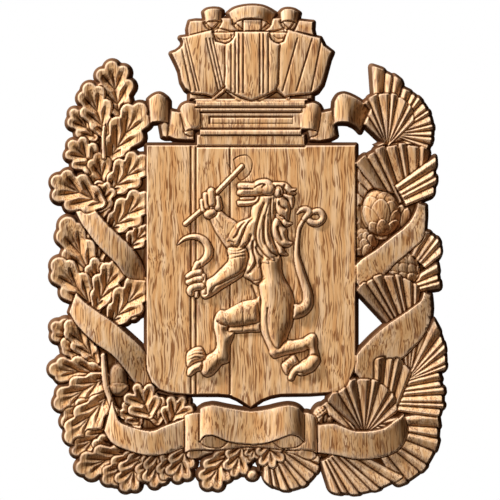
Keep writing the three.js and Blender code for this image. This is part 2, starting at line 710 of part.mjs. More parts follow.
// A half-round limb through rows of x, y and radius: a new stretch starts at every sharp bend.
function limb(rows, ground, fullness) {
  const bends = (i) => {
    if (i === 0 || i === rows.length - 1) {
      return true;
    }
    const a = new THREE.Vector2(rows[i][0] - rows[i - 1][0], rows[i][1] - rows[i - 1][1]);
    const b = new THREE.Vector2(rows[i + 1][0] - rows[i][0], rows[i + 1][1] - rows[i][1]);
    return a.angleTo(b) > SHARP_BEND;
  };
  const stops = rows.map((row, i) => i).filter(bends);
  return stops.slice(1).map((stop, k) => stretch(rows.slice(stops[k], stop + 1), ground, fullness));
}

// One stretch of limb: a section at every row, drawn to a point past either end.
function stretch(rows, ground, fullness, sunk = SHIELD_LEVEL - LIMB_SINK) {
  const slim = Math.max(...rows.map((row) => row[2])) < SLIM_LIMB;
  const section = slim ? SLIM_SECTION : SECTION;
  const headings = rows.map((row, i) => {
    const before = rows[Math.max(i - 1, 0)];
    const after = rows[Math.min(i + 1, rows.length - 1)];
    return new THREE.Vector2(after[0] - before[0], after[1] - before[1]).normalize();
  });
  const rings = rows.map(([x, y, radius], i) => section.map(([side, rise]) => [
    x + headings[i].y * side * radius,
    y - headings[i].x * side * radius,
    rise === null ? sunk : ground + rise * radius * fullness,
  ]));
  const tip = (i, side) => {
    const [x, y, radius] = rows[i];
    const reach = side * radius * LIMB_END;
    return [x + headings[i].x * reach, y + headings[i].y * reach, sunk];
  };
  const size = section.length;
  const last = (rings.length - 1) * size;
  const startTip = rings.length * size;
  const faces = sides(rings.length, size);
  for (let i = 0; i < size; i += 1) {
    const next = (i + 1) % size;
    faces.push([startTip, next, i], [startTip + 1, last + i, last + next]);
  }
  return body([...rings.flat(), tip(0, -1), tip(rows.length - 1, 1)], faces);
}

// A cone of overlapping scales: rings that step in and out along an egg-shaped body.
function cone([x, y, turn, halfLength, halfWidth, level], shift) {
  const profile = [new THREE.Vector2(0, -halfLength)];
  for (let k = 0; k < CONE_ROWS; k += 1) {
    const low = (2 * k / CONE_ROWS - 1) * CONE_REACH;
    const high = low + (2 * SCALE_LENGTH) / CONE_ROWS;
    const radius = (share) => halfWidth * Math.sqrt(1 - share * share);
    profile.push(new THREE.Vector2(radius(low) * SCALE_STEP, halfLength * low));
    profile.push(new THREE.Vector2(radius(high), halfLength * high));
  }
  profile.push(new THREE.Vector2(0, halfLength));
  const egg = new THREE.LatheGeometry(profile, CONE_SIDES)
    .rotateZ(THREE.MathUtils.degToRad(turn - 90))
    .scale(1, 1, (level - CONE_MIDDLE) / halfWidth)
    .translate(x + shift[0], y + shift[1], CONE_MIDDLE);
  const aboveBack = new THREE.BoxGeometry(BEYOND, BEYOND, BEYOND).translate(0, 0, BEYOND / 2);
  return solid(egg).intersect(solid(aboveBack));
}

// The left side: oak leaves with an acorn, and the ribbon wound through them.
function garland() {
  const acorn = [ACORN, ACORN_CUP].flatMap((rows) => stretch(
    rows.map(([x, y, radius]) => [x + AT_LEFT[0], y + AT_LEFT[1], radius]),
    ACORN_LEVEL,
    ACORN_FULLNESS,
    WEB_LEVEL,
  ));
  return [
    web(moved(LEFT_PANEL, AT_LEFT)),
    ...GARLAND.map((row) => leaf(row, AT_LEFT)),
    ...acorn,
    ...RIBBON_LEFT.map((rows) => ribbon(rows, AT_LEFT)),
    leaf(LEAF_OVER_RIBBON, AT_LEFT),
  ];
}

// The right side: fans and cones, with the ribbon over them.
function sprays() {
  return [
    web(moved(RIGHT_PANEL, AT_RIGHT)),
    ...SPRAYS.map((row) => fan(row, AT_RIGHT)),
    ...CONES.map((row) => cone(row, AT_RIGHT)),
    ...RIBBON_RIGHT.map((rows) => ribbon(rows, AT_RIGHT)),
  ];
}

// The foot: the bow tied under the shield, with small leaves below it.
function bow() {
  return [
    ...BASE_LEAVES.map((row) => leaf(row, AT_BASE)),
    ...[...RIBBON_BASE, ...BOW].map((rows) => ribbon(rows, AT_BASE)),
  ];
}

// The shield: straight sides, rounded lower corners and a point in the middle of its foot.
function shield() {
  const side = SHIELD_TOP - SHIELD_SIDE;
  const inward = CORNER_WIDTH * SHIELD_CORNER;
  const corner = Array.from({ length: CORNER_STEPS + 1 }, (unused, k) => {
    const a = (k / CORNER_STEPS) * (Math.PI / 2);
    return [HALF_WIDTH - inward * (1 - Math.cos(a)), side - SHIELD_CORNER * Math.sin(a)];
  });
  const point = POINT_CURVE.map(([x, y]) => [x * SHIELD_POINT, SHIELD_BASE - y * SHIELD_POINT]);
  const right = [[HALF_WIDTH, SHIELD_TOP], ...corner, ...point];
  const left = right.slice(0, -1).reverse().map(([x, y]) => [-x, y]);
  return plate(moved([...right, ...left], [SHIELD_MIDDLE, 0]), SHIELD_LEVEL);
}

// The lion: limbs, mane and head on the shield's face, and what it holds.
function lion() {
  const limbs = LIMBS.flatMap(({ rows, rise = 0, fullness = LIMB_FULLNESS }) => (
    limb(rows, SHIELD_LEVEL + rise, fullness)
  ));
  const size = LION_HEIGHT / LION_DRAWN_HEIGHT;
  return [
    ...limbs,
    ...FINGERS.flatMap((rows) => limb(rows, SHIELD_LEVEL + FINGER_RISE, FINGER_FULLNESS)),
    mound(MANE, MANE_EDGE, MANE_RISE),
    ...LOCKS.flatMap((rows) => limb(rows, SHIELD_LEVEL + LOCK_RISE, FINGER_FULLNESS)),
    mound(HEAD, HEAD_EDGE, HEAD_RISE),
    ...FACE.flatMap(({ rows }) => limb(rows, SHIELD_LEVEL + FACE_RISE, FINGER_FULLNESS)),
    sickleBlade(),
  ].map((piece) => (
    piece
      .translate(0, -LION_FOOT, -SHIELD_LEVEL)
      .scale(size, size, size)
      .translate(0, LION_FOOT, SHIELD_LEVEL)
  ));
}

function sickleBlade() {
  const arc = ({ x, y, radius, from, to }) => (
    Array.from({ length: SICKLE_STEPS + 1 }, (unused, k) => {
      const a = THREE.MathUtils.degToRad(from + ((to - from) * k) / SICKLE_STEPS);
      return [x + radius * Math.cos(a), y + radius * Math.sin(a)];
    })
  );
  const outline = [...arc(SICKLE_OUTER), ...arc(SICKLE_INNER)];
  return plate(outline, SHIELD_LEVEL + SICKLE_RISE, 0, SICKLE_RIM);
}

// The pedestal: mouldings over and under a body with a sunk panel.
function pedestal() {
  const foot = SHIELD_TOP - 1;
  const bar = ([out, bottom, top], level) => {
    const half = PEDESTAL_WIDTH / 2 + out;
    const left = PEDESTAL_MIDDLE - half;
    const right = PEDESTAL_MIDDLE + half;
    const outline = [[left, bottom], [right, bottom], [right, top], [left, top]];
    return plate(moved(outline, [0, foot]), level);
  };
  const panel = new THREE.BoxGeometry(PANEL_WIDTH, PANEL_HEIGHT, PANEL_DEPTH * 2)
    .translate(PEDESTAL_MIDDLE, foot + PLINTH_HEIGHT + PANEL_RISE, BODY_LEVEL);
  return [
    solid(bar(BODY, BODY_LEVEL)).subtract(solid(panel)),
    ...MOULDINGS.map((row) => bar(row, row[3])),
  ];
}

// The crown: a centre shield with a tilted one on either side, and the tops of the towers behind.
function crown() {
  const size = CROWN_WIDTH / CROWN_DRAWN_WIDTH;
  return [
    ...CROWN_BACK.map(({ outline, level }) => plate(outline, level, 0, 0)),
    ...TOWER_TOPS.map(({ outline, level }) => plate(outline, level, 0)),
    plate(CROWN_SCROLL, SCROLL_LEVEL),
    plate(CROWN_LEFT, SIDE_SHIELD_LEVEL),
    plate(CROWN_RIGHT, SIDE_SHIELD_LEVEL),
    plate(CROWN_CENTRE, CENTRE_SHIELD_LEVEL),
  ].map((piece) => (
    piece
      .translate(0, -CROWN_FOOT, 0)
      .scale(size, size, 1)
      .translate(AT_TOP[0], CROWN_FOOT + AT_TOP[1], 0)
  ));
}

const scrolls = () => SCROLLS.map((rows) => ribbon(rows, AT_TOP));

const carving = join([
  ...garland(),
  ...sprays(),
  ...scrolls(),
  shield(),
  ...lion(),
  ...pedestal(),
  ...bow(),
  ...crown(),
]);

const { vertProperties, triVerts } = carving.getMesh();
const geometry = new THREE.BufferGeometry();
geometry.setAttribute('position', new THREE.BufferAttribute(new Float32Array(vertProperties), 3));
geometry.setIndex(new THREE.BufferAttribute(new Uint32Array(triVerts), 1));
geometry.rotateX(Math.PI / 2);

const oak = new THREE.MeshStandardMaterial({
  color: OAK_COLOUR,
  roughness: OAK_ROUGHNESS,
  metalness: 0,
});
const relief = new THREE.Mesh(geometry, oak);
relief.name = 'coat_of_arms_relief';

const coatOfArms = new THREE.Group();
coatOfArms.add(relief);

export default coatOfArms;
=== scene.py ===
"""A coat of arms carved from one oak panel: the carved surface, its wood, the light and the camera.

The carving is a height map seen from the front, in millimetres: x to the right, z up, and the height
above the flat back. Every form is laid over the ones behind it, as a carver works from the top of the
board downwards. The map then becomes one closed mesh, in metres, on the frame's own back plane.
"""
import math

import bmesh
import bpy
import numpy as np
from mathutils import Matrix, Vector

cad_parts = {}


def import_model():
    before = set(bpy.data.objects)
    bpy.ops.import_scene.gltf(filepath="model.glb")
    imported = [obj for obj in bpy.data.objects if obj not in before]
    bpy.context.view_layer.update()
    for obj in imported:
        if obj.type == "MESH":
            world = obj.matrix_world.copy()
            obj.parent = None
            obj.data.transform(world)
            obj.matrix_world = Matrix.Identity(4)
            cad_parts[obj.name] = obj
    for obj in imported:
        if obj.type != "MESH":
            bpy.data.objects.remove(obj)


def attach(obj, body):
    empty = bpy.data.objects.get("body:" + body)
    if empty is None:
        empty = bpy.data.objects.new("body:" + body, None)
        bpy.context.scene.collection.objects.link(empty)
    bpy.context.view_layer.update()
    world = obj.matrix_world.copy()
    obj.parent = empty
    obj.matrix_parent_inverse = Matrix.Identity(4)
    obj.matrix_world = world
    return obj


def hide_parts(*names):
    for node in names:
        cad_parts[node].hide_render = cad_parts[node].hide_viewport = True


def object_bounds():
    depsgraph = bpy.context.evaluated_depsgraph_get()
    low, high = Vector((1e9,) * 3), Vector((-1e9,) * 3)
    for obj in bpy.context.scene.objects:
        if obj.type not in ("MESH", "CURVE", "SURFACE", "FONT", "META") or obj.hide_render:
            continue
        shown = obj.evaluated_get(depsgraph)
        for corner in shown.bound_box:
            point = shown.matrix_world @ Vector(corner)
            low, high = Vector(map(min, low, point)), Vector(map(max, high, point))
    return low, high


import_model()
solid_box = [list(corner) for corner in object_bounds()]

# The map: its step and reach, how far round a form it is worked out, what counts as far outside, the
# blur that rounds its edges, and the least number that anything is divided by
STEP = 0.5
X_RANGE = (-208.0, 208.0)
Z_RANGE = (-253.0, 253.0)
MARGIN = 8.0
FAR_AWAY = 60.0
SURFACE_BLUR = 0.3
TINY = 1e-9

# The rim that slopes down round every outline, the panels behind, and the crease cut round a form
RIM = 3.2
RIM_TOP = 15.0
RIM_FOOT = 3.5
RIM_CURVE = 0.85
WEB_LEVEL = 9.0
LOWEST = WEB_LEVEL - 1
CREASE_WIDTH = 1.2
CREASE_DEPTH = 2.8

# The mesh, and where and how the slope at its corners is read
MM_PER_METRE = 1000
TRIANGLES = 176000
CROSSING_LIMITS = (0.02, 0.98)
INWARD = 0.3
SLOPE_BLUR = 0.3
FACING = 0.12

# Shield
SHIELD_LEVEL = 24.5
SHIELD = [
    (-103, 104.5), (105.5, 104.5), (105.5, -110), (103, -122), (97, -134), (89, -140), (80, -142),
    (60, -143.5), (30, -144), (20, -146), (12, -149), (6, -153), (0.5, -157), (-5, -153), (-12, -148.5),
    (-20, -145), (-30, -144), (-60, -144), (-80, -142.5), (-90, -139), (-97, -132.5), (-102, -120),
    (-103, -110),
]
SCORED_LINES = (-58.5, -53.5, -19.6)
SCORED_TOP = 104
SCORED_FOOT = -143

# Oak leaves: base, tip, width to the left and right of the midrib, height
LEAVES_BEHIND = [
    (-142, 100, -156, 128, 14, 14, 16), (-150, 100, -148, 150, 14, 14, 16),
    (-140, 118, -126, 150, 13, 13, 17), (-155, 112, -180, 142, 14, 14, 18),
    (-131, 138, -139, 191, 20, 20, 20), (-145, 117, -163, 169, 17, 17, 22),
    (-137, 95, -104, 148, 20, 19, 21), (-151, 80, -182, 110, 17, 17, 22), (-146, 60, -152, 100, 14, 14, 17),
    (-138, 60, -100, 95, 19, 17, 20), (-152, 30, -150, 72, 14, 14, 17), (-150, 40, -140, 70, 12, 12, 18),
    (-119, 3, -99, 27, 13, 11, 19), (-138, 21, -98, 58, 18, 17, 20), (-150, -10, -158, 24, 13, 13, 17),
    (-157, -31, -186, 35, 19, 18, 19), (-148, -45, -156, -5, 13, 13, 18), (-155, -59, -197, -7, 18, 17, 21),
    (-152, -55, -130, -8, 16, 15, 20), (-139, -66, -104, -60, 9, 9, 17), (-137, -71, -100, -26, 19, 18, 20),
    (-150, -92, -168, -84, 10, 10, 18), (-160, -98, -200, -72, 16, 15, 19),
    (-152, -115, -190, -88, 13, 13, 18), (-154, -110, -184, -68, 13, 13, 21),
    (-148, -124, -203, -118, 15, 16, 21), (-145, -128, -197, -158, 17, 17, 22),
    (-143, -150, -190, -176, 15, 15, 20), (-143, -147, -184, -194, 17, 17, 22),
    (-146, -182, -179, -205, 12, 12, 18), (-125, -198, -160, -192, 12, 12, 18),
]
LEAVES_AT_FOOT = [
    (-122, -203, -176, -220, 17, 17, 20), (-112, -204, -148, -234, 14, 14, 19),
    (-108, -204, -128, -243, 16, 16, 21), (-92, -204, -112, -232, 12, 12, 19),
    (-92, -204, -96, -240, 14, 14, 20), (-75, -200, -88, -232, 12, 12, 19),
    (-65, -200, -74, -234, 15, 15, 21),
]
# Painted shade on the leaves at the foot
LEAVES_AT_FOOT_SHADE = 0.3
LEAVES_MIDDLE = [
    (-110, -172, -128, -150, 12, 12, 18), (-92, -172, -96, -140, 12, 12, 18),
    (-100, -165, -115, -131, 19, 18, 21), (-80, -174, -64, -144, 16, 17, 20),
]
LEAVES_OVER = [(-149, 47, -200, 72, 22, 19, 27)]
LEAVES_BELOW = [
    (-22, -203, -47, -240, 17, 16, 20), (-8, -195, -17, -229, 15, 15, 21), (6, -193, 0, -212, 9, 9, 20),
    (18, -190, 24, -220, 15, 15, 22),
]
# Painted shade on the leaves below
LEAVES_BELOW_SHADE = 0.15

# Fans: pivot, first and last angle, number of blades, reach of the first, middle and last, inner radius
# and height; then, where they are given, lean and painted shade
FANS_BEHIND = [
    (118, 100, 26, -16, 4, 53, 57, 58, 10, 18), (128, 82, 94, 74, 3, 101, 95, 88, 60, 19),
    (142, 115, 78, -24, 10, 47, 42, 38, 6, 20), (137, 103, 137, 42, 8, 43, 53, 36, 1, 23, 0.08, 0.2),
    (166, 10, 152, 126, 3, 66, 78, 96, 20, 18), (166, 10, 129, 82, 7, 97, 98, 90, 40, 21.5, 0.14, 0.3),
    (118, -196, 142, 116, 3, 62, 60, 56, 8, 21), (158, -132, 100, 66, 4, 34, 50, 56, 8, 17),
    (130, -48, 32, 9, 3, 66, 62, 60, 34, 20), (147, -39, 68, 37, 4, 62, 64, 55, 34, 22),
]
FANS_MIDDLE = [(163, -102, 133, 84, 7, 84, 82, 63, 26, 22, 0.16, 0.32)]
FANS_FRONT = [
    (73, 12, 36, 21, 4, 137, 127, 119, 88, 27), (110, -172, 8, -60, 7, 76, 79, 72, 16, 20, 0.05, 0.1),
    (80, -150, 15, -9, 6, 110, 113, 110, 60, 21), (156, -130, 66, 15, 5, 66, 50, 40, 1, 22),
    (60, -178, -72, -27, 7, 66, 84, 104, 34, 20), (16, -188, -94, -18, 8, 40, 59, 57, 18, 19),
    (125, -212, 91, 68, 4, 102, 106, 98, 60, 23, 0.14, 0.25),
    (114, -184, 138, 34, 8, 50, 56, 40, 1, 24, 0.12, 0.4),
]

# Buds: centre, turn in degrees, half length, half width, foot and rise, then the scales from back to
# front. A scale is its base, its tip, half its width and how far it stands up.
BUDS = [
    ((114, 7, 100, 15, 12, 13, 6.5), [
        (112, 15, 110.5, 29.5, 7, 0), (124.5, 4, 124.5, 18.5, 4, 0), (109.5, 2, 107, 13.5, 4, 0.3),
        (113, 7.5, 110.5, 17, 4, 0.4), (116.5, 6.5, 115.2, 18.5, 4, 0.6), (119.5, 3, 121, 15.5, 4.4, 0.5),
        (115, -3, 113, 11.5, 5, 1.2), (109, -6, 108, 2, 4, 0.9), (115, -7, 118.5, 5.5, 5, 1.6),
    ]),
    ((130, 37, 104, 23, 19.5, 13, 8.5), [
        (127, 36, 122, 61.5, 10.5, 0.2), (133, 36, 134, 58, 8.5, 0.4), (143, 30, 140, 57, 8, 0),
        (147, 18, 151.5, 45, 6, 0), (152, 20, 157.5, 42, 4.6, 0), (116.5, 22, 108.5, 45, 6, 0),
        (127, 25, 118, 53.5, 9, 0.8), (140.5, 24, 140, 49, 7.5, 1.0), (142, 20, 146.5, 39.5, 5.2, 0.9),
        (129, 19, 130.5, 51, 9.5, 1.7), (130, 15, 113.5, 43.5, 6.5, 1.0), (131, 12, 119.5, 27.5, 5.6, 1.6),
        (137, 11, 147, 29.5, 6.4, 1.5), (133, 10, 131.5, 30.5, 6.2, 2.2),
    ]),
]

# Cones: centre, turn in degrees, half length, half width, height, length of a scale. Their bracts are
# rows like the scales of a bud.
CONES = [(70, -164.5, 80, 9.5, 7.5, 15, 5), (153, -18, 130, 18, 15, 13, 13)]
CONE_BRACTS = [(74, -175, 76, -162, 2.8, 2), (78.5, -175.5, 81, -166, 3, 2)]
BRACT_LEVEL = 15

# Ribbons, their scrolls and the bow: each station is a point on either edge and the height there
RIBBON_LEFT = [
    [(-167, 47, -175, 41, 24), (-160, 44, -168, 27, 27), (-154, 40, -163, 20, 28), (-140, 24, -150, 3, 29),
     (-120, 5, -132, -15, 27), (-110, -8, -122, -27, 23), (-104, -22, -104, -30, 18)],
    [(-173, -43, -180, -62, 26), (-160, -55, -171, -76, 28), (-137, -71, -155, -92, 29),
     (-120, -85, -138, -104, 28), (-105, -100, -125, -118, 24), (-100, -113, -114, -134, 20),
     (-92, -126, -106, -148, 18)],
]
RIBBON_RIGHT_HIGH = [
    (167, 47, 175, 44, 21), (163, 35, 175, 30, 24), (155, 24, 172, 12, 28), (140, 12, 158, -2, 29),
    (125, 0, 145, -13, 28), (106, -14, 132, -26, 26), (104, -30, 112, -42, 24),
]
RIBBON_RIGHT_LOW = [
    (173, -42, 180, -45, 21), (170, -50, 181, -60, 25), (160, -58, 178, -75, 28), (150, -65, 169, -90, 29),
    (135, -75, 158, -102, 29), (118, -90, 146, -113, 28), (105, -106, 134, -125, 26),
    (104, -122, 120, -140, 24),
]
RIBBON_BASE_LEFT = [
    (-137, -150, -145, -180, 24), (-132, -165, -137, -192, 27), (-125, -173, -122, -199, 29),
    (-100, -180, -103, -204, 29), (-85, -175, -85, -203, 27), (-65, -168, -65, -196, 23),
]
RIBBON_BASE_RIGHT = [
    (67, -174, 68, -202, 24), (85, -173, 85, -204, 27), (105, -180, 107, -208, 28.5),
    (130, -178, 132, -206, 27.5), (145, -169, 150, -197, 25), (153, -163, 158, -180, 21),
]
HIGH_LEAN = 1.8
LOW_LEAN = 3.0
# Painted shade on the lower right ribbon and on the right ribbon at the foot
LOW_RIBBON_SHADE = 0.12
BASE_RIBBON_SHADE = 0.2
SCROLLS = [
    [(-101, 150, -99, 126, 23), (-96, 154, -96, 127, 27), (-90, 155.5, -90, 127.5, 28),
     (-84, 152, -85, 127, 26), (-81, 148, -81, 126, 23)],
    [(-89, 124, -87, 113, 21), (-84, 127, -84, 112, 22), (-78, 121, -81, 112, 22)],
    [(-78.5, 139, -81.5, 113.5, 21), (-75, 138, -75, 110.5, 23), (-66, 137, -66, 109.5, 23),
     (-54, 137, -56, 109, 22)],
    [(-65.5, 118, -64.5, 115.5, 24), (-61, 121, -61, 113.5, 23), (-56, 121, -56.5, 113, 22)],
    [(-70, 140, -64.5, 118, 23), (-67, 144.5, -61, 119.5, 27), (-60, 146.5, -57, 120, 28),
     (-46, 143, -47, 119, 25)],
    [(120, 140, 110, 118, 17), (112, 147, 105, 123, 22), (103, 152.5, 100, 125.5, 26),
     (95, 155.5, 98, 126.5, 28), (90, 155, 91, 127, 28), (87, 153, 86, 126, 26), (84, 148, 82, 121, 23)],
    [(82, 139, 86, 114, 21), (77, 138, 79, 110.5, 23), (70, 137, 70, 108.5, 23), (58, 137, 60, 109, 22)],
    [(67.5, 119, 67, 115, 24), (63, 121, 63.5, 113.2, 23), (57, 121, 59, 112, 22)],
    [(71, 140, 68, 118, 23), (68, 144.5, 63.5, 119.5, 27), (61, 146.5, 57, 119.8, 28),
     (47, 142, 47, 119.5, 25)],
]
BOW = [
    [(-65, -165, -65, -202, 22), (-60, -163, -60, -200, 25), (-48, -163, -48, -199, 24),
     (-30, -180, -30, -199, 22), (0, -182, 0, -196, 20), (35, -180, 35, -199, 22), (52, -163, 52, -199, 24),
     (61, -163, 61, -200, 25), (67, -168, 67, -203, 22)],
    [(-63, -204, -63, -205, 22), (-60, -200, -60, -207.5, 21), (-52, -199, -52, -207.5, 20),
     (-44, -200, -44, -204, 19), (-37, -201, -37, -202, 18)],
    [(37, -200, 37, -201, 18), (46, -200, 46, -204, 19), (55, -199, 55, -208, 20),
     (62, -200, 62, -208.5, 21), (66.5, -204, 66.5, -205, 22)],
    [(-50, -188, -50, -190, 24), (-45, -184, -45, -194.5, 24), (-38, -184, -38, -196.5, 23),
     (-30, -187, -30, -197, 22), (-22, -189, -23, -192, 21)],
    [(23, -189, 24, -192, 21), (31, -187, 31, -197, 22), (40, -184, 40, -197, 23), (48, -184, 48, -195, 24),
     (54, -188, 54, -190, 24)],
    [(-50, -158, -50, -191, 26), (-46, -155.5, -46, -185.5, 30), (-41, -154.3, -41, -184, 32),
     (-35, -154, -35, -184.5, 32.5), (-20, -157, -20, -190.5, 30.5), (0, -160, 0, -193, 29),
     (15, -158.5, 15, -192, 30), (30, -155, 30, -187, 33), (40, -154, 40, -183.5, 33),
     (48, -156.5, 48, -185, 30), (54, -163, 54, -191, 25)],
]

# The low panels between the leaves, between the fans and behind the end of the left ribbon
PANELS = [
    [(-132, 175), (-150, 155), (-165, 130), (-168, 100), (-165, 60), (-172, 45), (-160, 30), (-178, 20),
     (-174, -62), (-184, -120), (-165, -190), (-130, -222), (-62, -212), (-60, -150), (-104, -140),
     (-135, -118), (-128, -70), (-104, -50), (-104, 92), (-125, 100), (-115, 135)],
    [(135, 150), (150, 160), (170, 130), (172, 100), (178, 60), (165, 40), (170, 20), (185, 10), (182, -30),
     (172, -50), (178, -70), (185, -120), (185, -160), (175, -200), (155, -230), (90, -235), (70, -205),
     (66, -215), (40, -230), (10, -220), (10, -195), (75, -190), (78, -160), (96, -145), (104, -125),
     (112, -110), (140, -75), (150, -60), (104, -30), (104, 84), (112, 92), (134, 100)],
    [(-114, -124), (-100, -112), (-92, -138), (-108, -150)],
]

# Stems and the berry, as rows of x, z and radius, and the outlines of the acorn
STEMS = [
    [(-146, -105, 2.6), (-144, -130, 3), (-140, -145, 3), (-133, -160, 2.8), (-110, -177, 2.4)],
    [(-145, 122, 1.6), (-146, 108, 1.8), (-145, 92, 2)],
]
STEM_LEVEL = 20
ACORN_NUT = [
    (-131, -113.2), (-126.3, -114.8), (-123.4, -119.5), (-122.7, -127), (-123, -138), (-129.5, -145),
    (-137, -141), (-139.6, -134), (-139.6, -126), (-138.8, -119.5), (-135.8, -114.8),
]
ACORN_CUP = [
    (-140.8, -135), (-137, -133), (-131, -132.4), (-125, -133), (-121, -135), (-121.5, -140),
    (-126, -144.5), (-131, -146), (-136, -144.5), (-140.3, -140),
]
ACORN_LEVEL = 15
# Painted shade on the acorn
ACORN_SHADE = 0.62
BERRY = [(2, -224, 5), (2.5, -224, 5)]
BERRY_LEVEL = 18

# Lion, back to front: closed outlines of its soft forms, lines, and limbs as rows of x, z and radius
# Painted shade on the tail
TAIL_SHADE = 0.25
THIN_LEVEL = SHIELD_LEVEL + 0.5
FINGER_LEVEL = SHIELD_LEVEL + 1.8
TONGUE_LEVEL = SHIELD_LEVEL + 3
FACE_LEVEL = SHIELD_LEVEL + 5.4
TAIL = [
    (43, -61, 7.5), (51, -60, 6.2), (57, -54, 5.5), (57.5, -44, 4.7), (54, -32, 4.2), (50, -20, 4),
    (47, -8, 3), (46.5, 0, 2.5), (47.5, 12, 2), (49, 22, 2), (54, 31, 1.8),
]
TAIL_TIP = [(54, 31, 2.4), (59, 37, 3.2), (56, 40.5, 2.6), (51, 40, 2.2), (47, 36.5, 0.8)]
TAIL_LOOP = [
    (57, 32, 2.4), (61, 27.5, 3), (67, 26.5, 3.2), (71.5, 29.5, 3), (72.5, 34, 3), (68.5, 38.5, 2.8),
    (62, 37.5, 2.4),
]
STANDING_SHANK = [
    (24, -92), (36, -90), (45, -90), (52, -88.5), (57, -85), (62, -83), (65.5, -85), (67, -91), (67, -98),
    (69, -105), (70, -111), (67, -115), (62, -118.5), (58, -123), (53, -124.5), (48, -124), (46, -119),
    (49, -113), (54, -109), (58, -106), (59, -100), (56, -98.7), (48, -101), (38, -103.5), (30, -106),
    (24, -106),
]
TRUNK = [
    (10, -12), (12, -28), (9, -34), (10, -42), (11, -50), (10, -60), (10, -70), (11, -80), (14, -88),
    (18, -97), (21, -104), (24, -107.5), (30, -106), (38, -102), (36.5, -92), (38, -84), (41.5, -75),
    (43.5, -65), (44, -55), (43, -47), (40, -38), (35, -30), (31.5, -20), (31, -10), (27, 2), (20, 12),
    (10, 6),
]
CHEST = [(-3, -8), (-6, -18), (-6, -26), (0, -30), (8, -35), (14, -31), (16, -26), (14, -10)]
FAR_THIGH = [(11, -70), (0, -74), (-18, -76), (-21, -79), (-21, -82), (-10, -82.5), (0, -81.5), (11, -80.5)]
RAISED_THIGH = [
    (10, -47), (5, -49), (-4, -50.5), (-10, -52.5), (-17, -56), (-24, -60), (-30, -60), (-34, -65),
    (-34, -70), (-27, -75), (-17, -76.5), (-8, -75.5), (0, -74), (10, -70),
]
RAISED_SHANK = [
    (-28, -60), (-34, -65), (-36, -75), (-34, -85), (-33, -95), (-36, -101), (-41, -104), (-45, -107),
    (-48, -114), (-48, -122), (-43, -126), (-37, -124), (-32, -119), (-28, -114), (-22, -112), (-20, -108),
    (-20, -96), (-17, -88), (-16, -82), (-21, -81), (-22.5, -78), (-20, -71), (-23, -63),
]
KNEE_LINES = [[(-28, -60.5), (-26, -66), (-23, -71), (-21, -77)], [(-33, -66), (-31, -74), (-30.5, -84)]]
UPPER_TOE = [
    (-62, -116), (-63, -105), (-60, -100), (-53, -96.5), (-48, -97), (-45, -102), (-44, -108),
    (-50, -110.5), (-56, -112.5),
]
LOWER_TOE = [
    (-61.5, -118), (-55, -113), (-49, -111), (-47, -114), (-48, -119), (-53, -121), (-58, -125),
    (-62, -124.5),
]
REAR_TOES = [
    (43, -104.5), (38, -108), (33, -112), (31.5, -115), (34, -121), (37, -124), (39, -120), (43, -115),
    (48, -112), (46, -107),
]
REAR_FOOT = [
    (63, -110, 6.5), (58.5, -115.5, 6.5), (52, -117.5, 5.5), (46.5, -118.5, 3.6), (42.5, -123, 3.2),
    (41, -127, 3),
]
TOE_LINES = [
    [(39.5, -106.5), (42, -108), (43.5, -111)], [(36.5, -108.5), (39.5, -109.8), (41.5, -112.5)],
    [(34.5, -111), (37.5, -112), (39, -115)],
]
REAR_KNEE = [(25, -100.5, 6), (40, -97, 6.2), (52, -94.5, 6.2)]
UPPER_ARM = [
    (-40, 33), (-36, 39), (-30, 40), (-22, 33), (-13, 27), (-6, 16), (-10, 4), (-18, 1), (-22, 1), (-26, 6),
    (-30, 12), (-35, 20),
]
LOWER_ARM = [
    (-22, 2), (-21, -9), (-25, -15), (-30, -20), (-36, -26), (-43, -30), (-47, -33), (-49, -40),
    (-48.5, -45), (-45, -48.5), (-40, -47), (-35, -44), (-28, -39), (-20, -34), (-12, -29), (-6, -24),
    (-3, -15), (-2, -6), (-4, 3), (-12, 4),
]
UPPER_ROD = [(-36, 54, 2.3), (-8, 83, 2.3)]
LOWER_ROD = [(-64, 26, 2.3), (-49, 39, 2.3)]
SPADE = [(-16, 90), (-11, 93), (-4, 94), (0.5, 91), (2.6, 85), (0, 76), (-7.4, 69.5), (-12, 72)]
SPADE_SIDE = [(-22.6, 86.5), (-18, 79.5), (-16, 77)]
SICKLE = [
    (-72, 5), (-68, 11), (-62, 14.5), (-55, 16), (-48, 14.5), (-42, 10.5), (-38, 4), (-36.5, -2), (-38, -8),
    (-43, -13), (-49, -17), (-53, -17), (-55, -12.5), (-50, -10), (-46.5, -6), (-45, -1), (-46, 4),
    (-50, 8.5), (-55, 10.5), (-60, 10.7), (-66, 9),
]
TANG = [(-52, -14, 3.2), (-55, -21, 3)]
FINGERS = [
    [(-44, 44, 5), (-36, 43, 6)], [(-40.5, 36, 5.2), (-37, 37, 4.6)], [(-47.5, 48.5, 2.4), (-46, 40, 2.8)],
    [(-44, 54.5, 3), (-42.5, 43, 3.4)], [(-32.5, 50.5, 3.6), (-31.5, 42.5, 4.2)],
    [(-38.5, 58, 3.8), (-37.5, 46.5, 4.3)], [(-46.5, -26, 2.6), (-45.5, -42, 3)],
    [(-53, -43, 2), (-53, -46, 2)], [(-48, -36, 3.6), (-55, -36.5, 4), (-59, -40, 3.6), (-58.5, -43, 3)],
    [(-49, -28.5, 3.2), (-55, -29.5, 3.2), (-61, -32, 2.8)],
    [(-50, -22, 3), (-56, -23.2, 3), (-61.5, -26.3, 2.6)],
]
NECK = [
    (3, 45), (1, 38), (1, 33), (-5, 30), (-12, 27), (-17, 21), (-22, 12), (-23, 9), (-20, 8), (-17, 4),
    (-12, 0), (-4, 2), (-1, -4), (-1, -12), (-4, -20), (-1, -23), (3, -19), (6, -15), (8, -18), (10, -15),
    (13, -12), (19, -13.5), (16, -9), (25, -10.5), (22, -7), (27, -6), (28, -3), (25, 5), (22, 14),
    (22, 25), (25, 35), (28, 45), (28, 54), (20, 58), (11, 56), (7, 49),
]
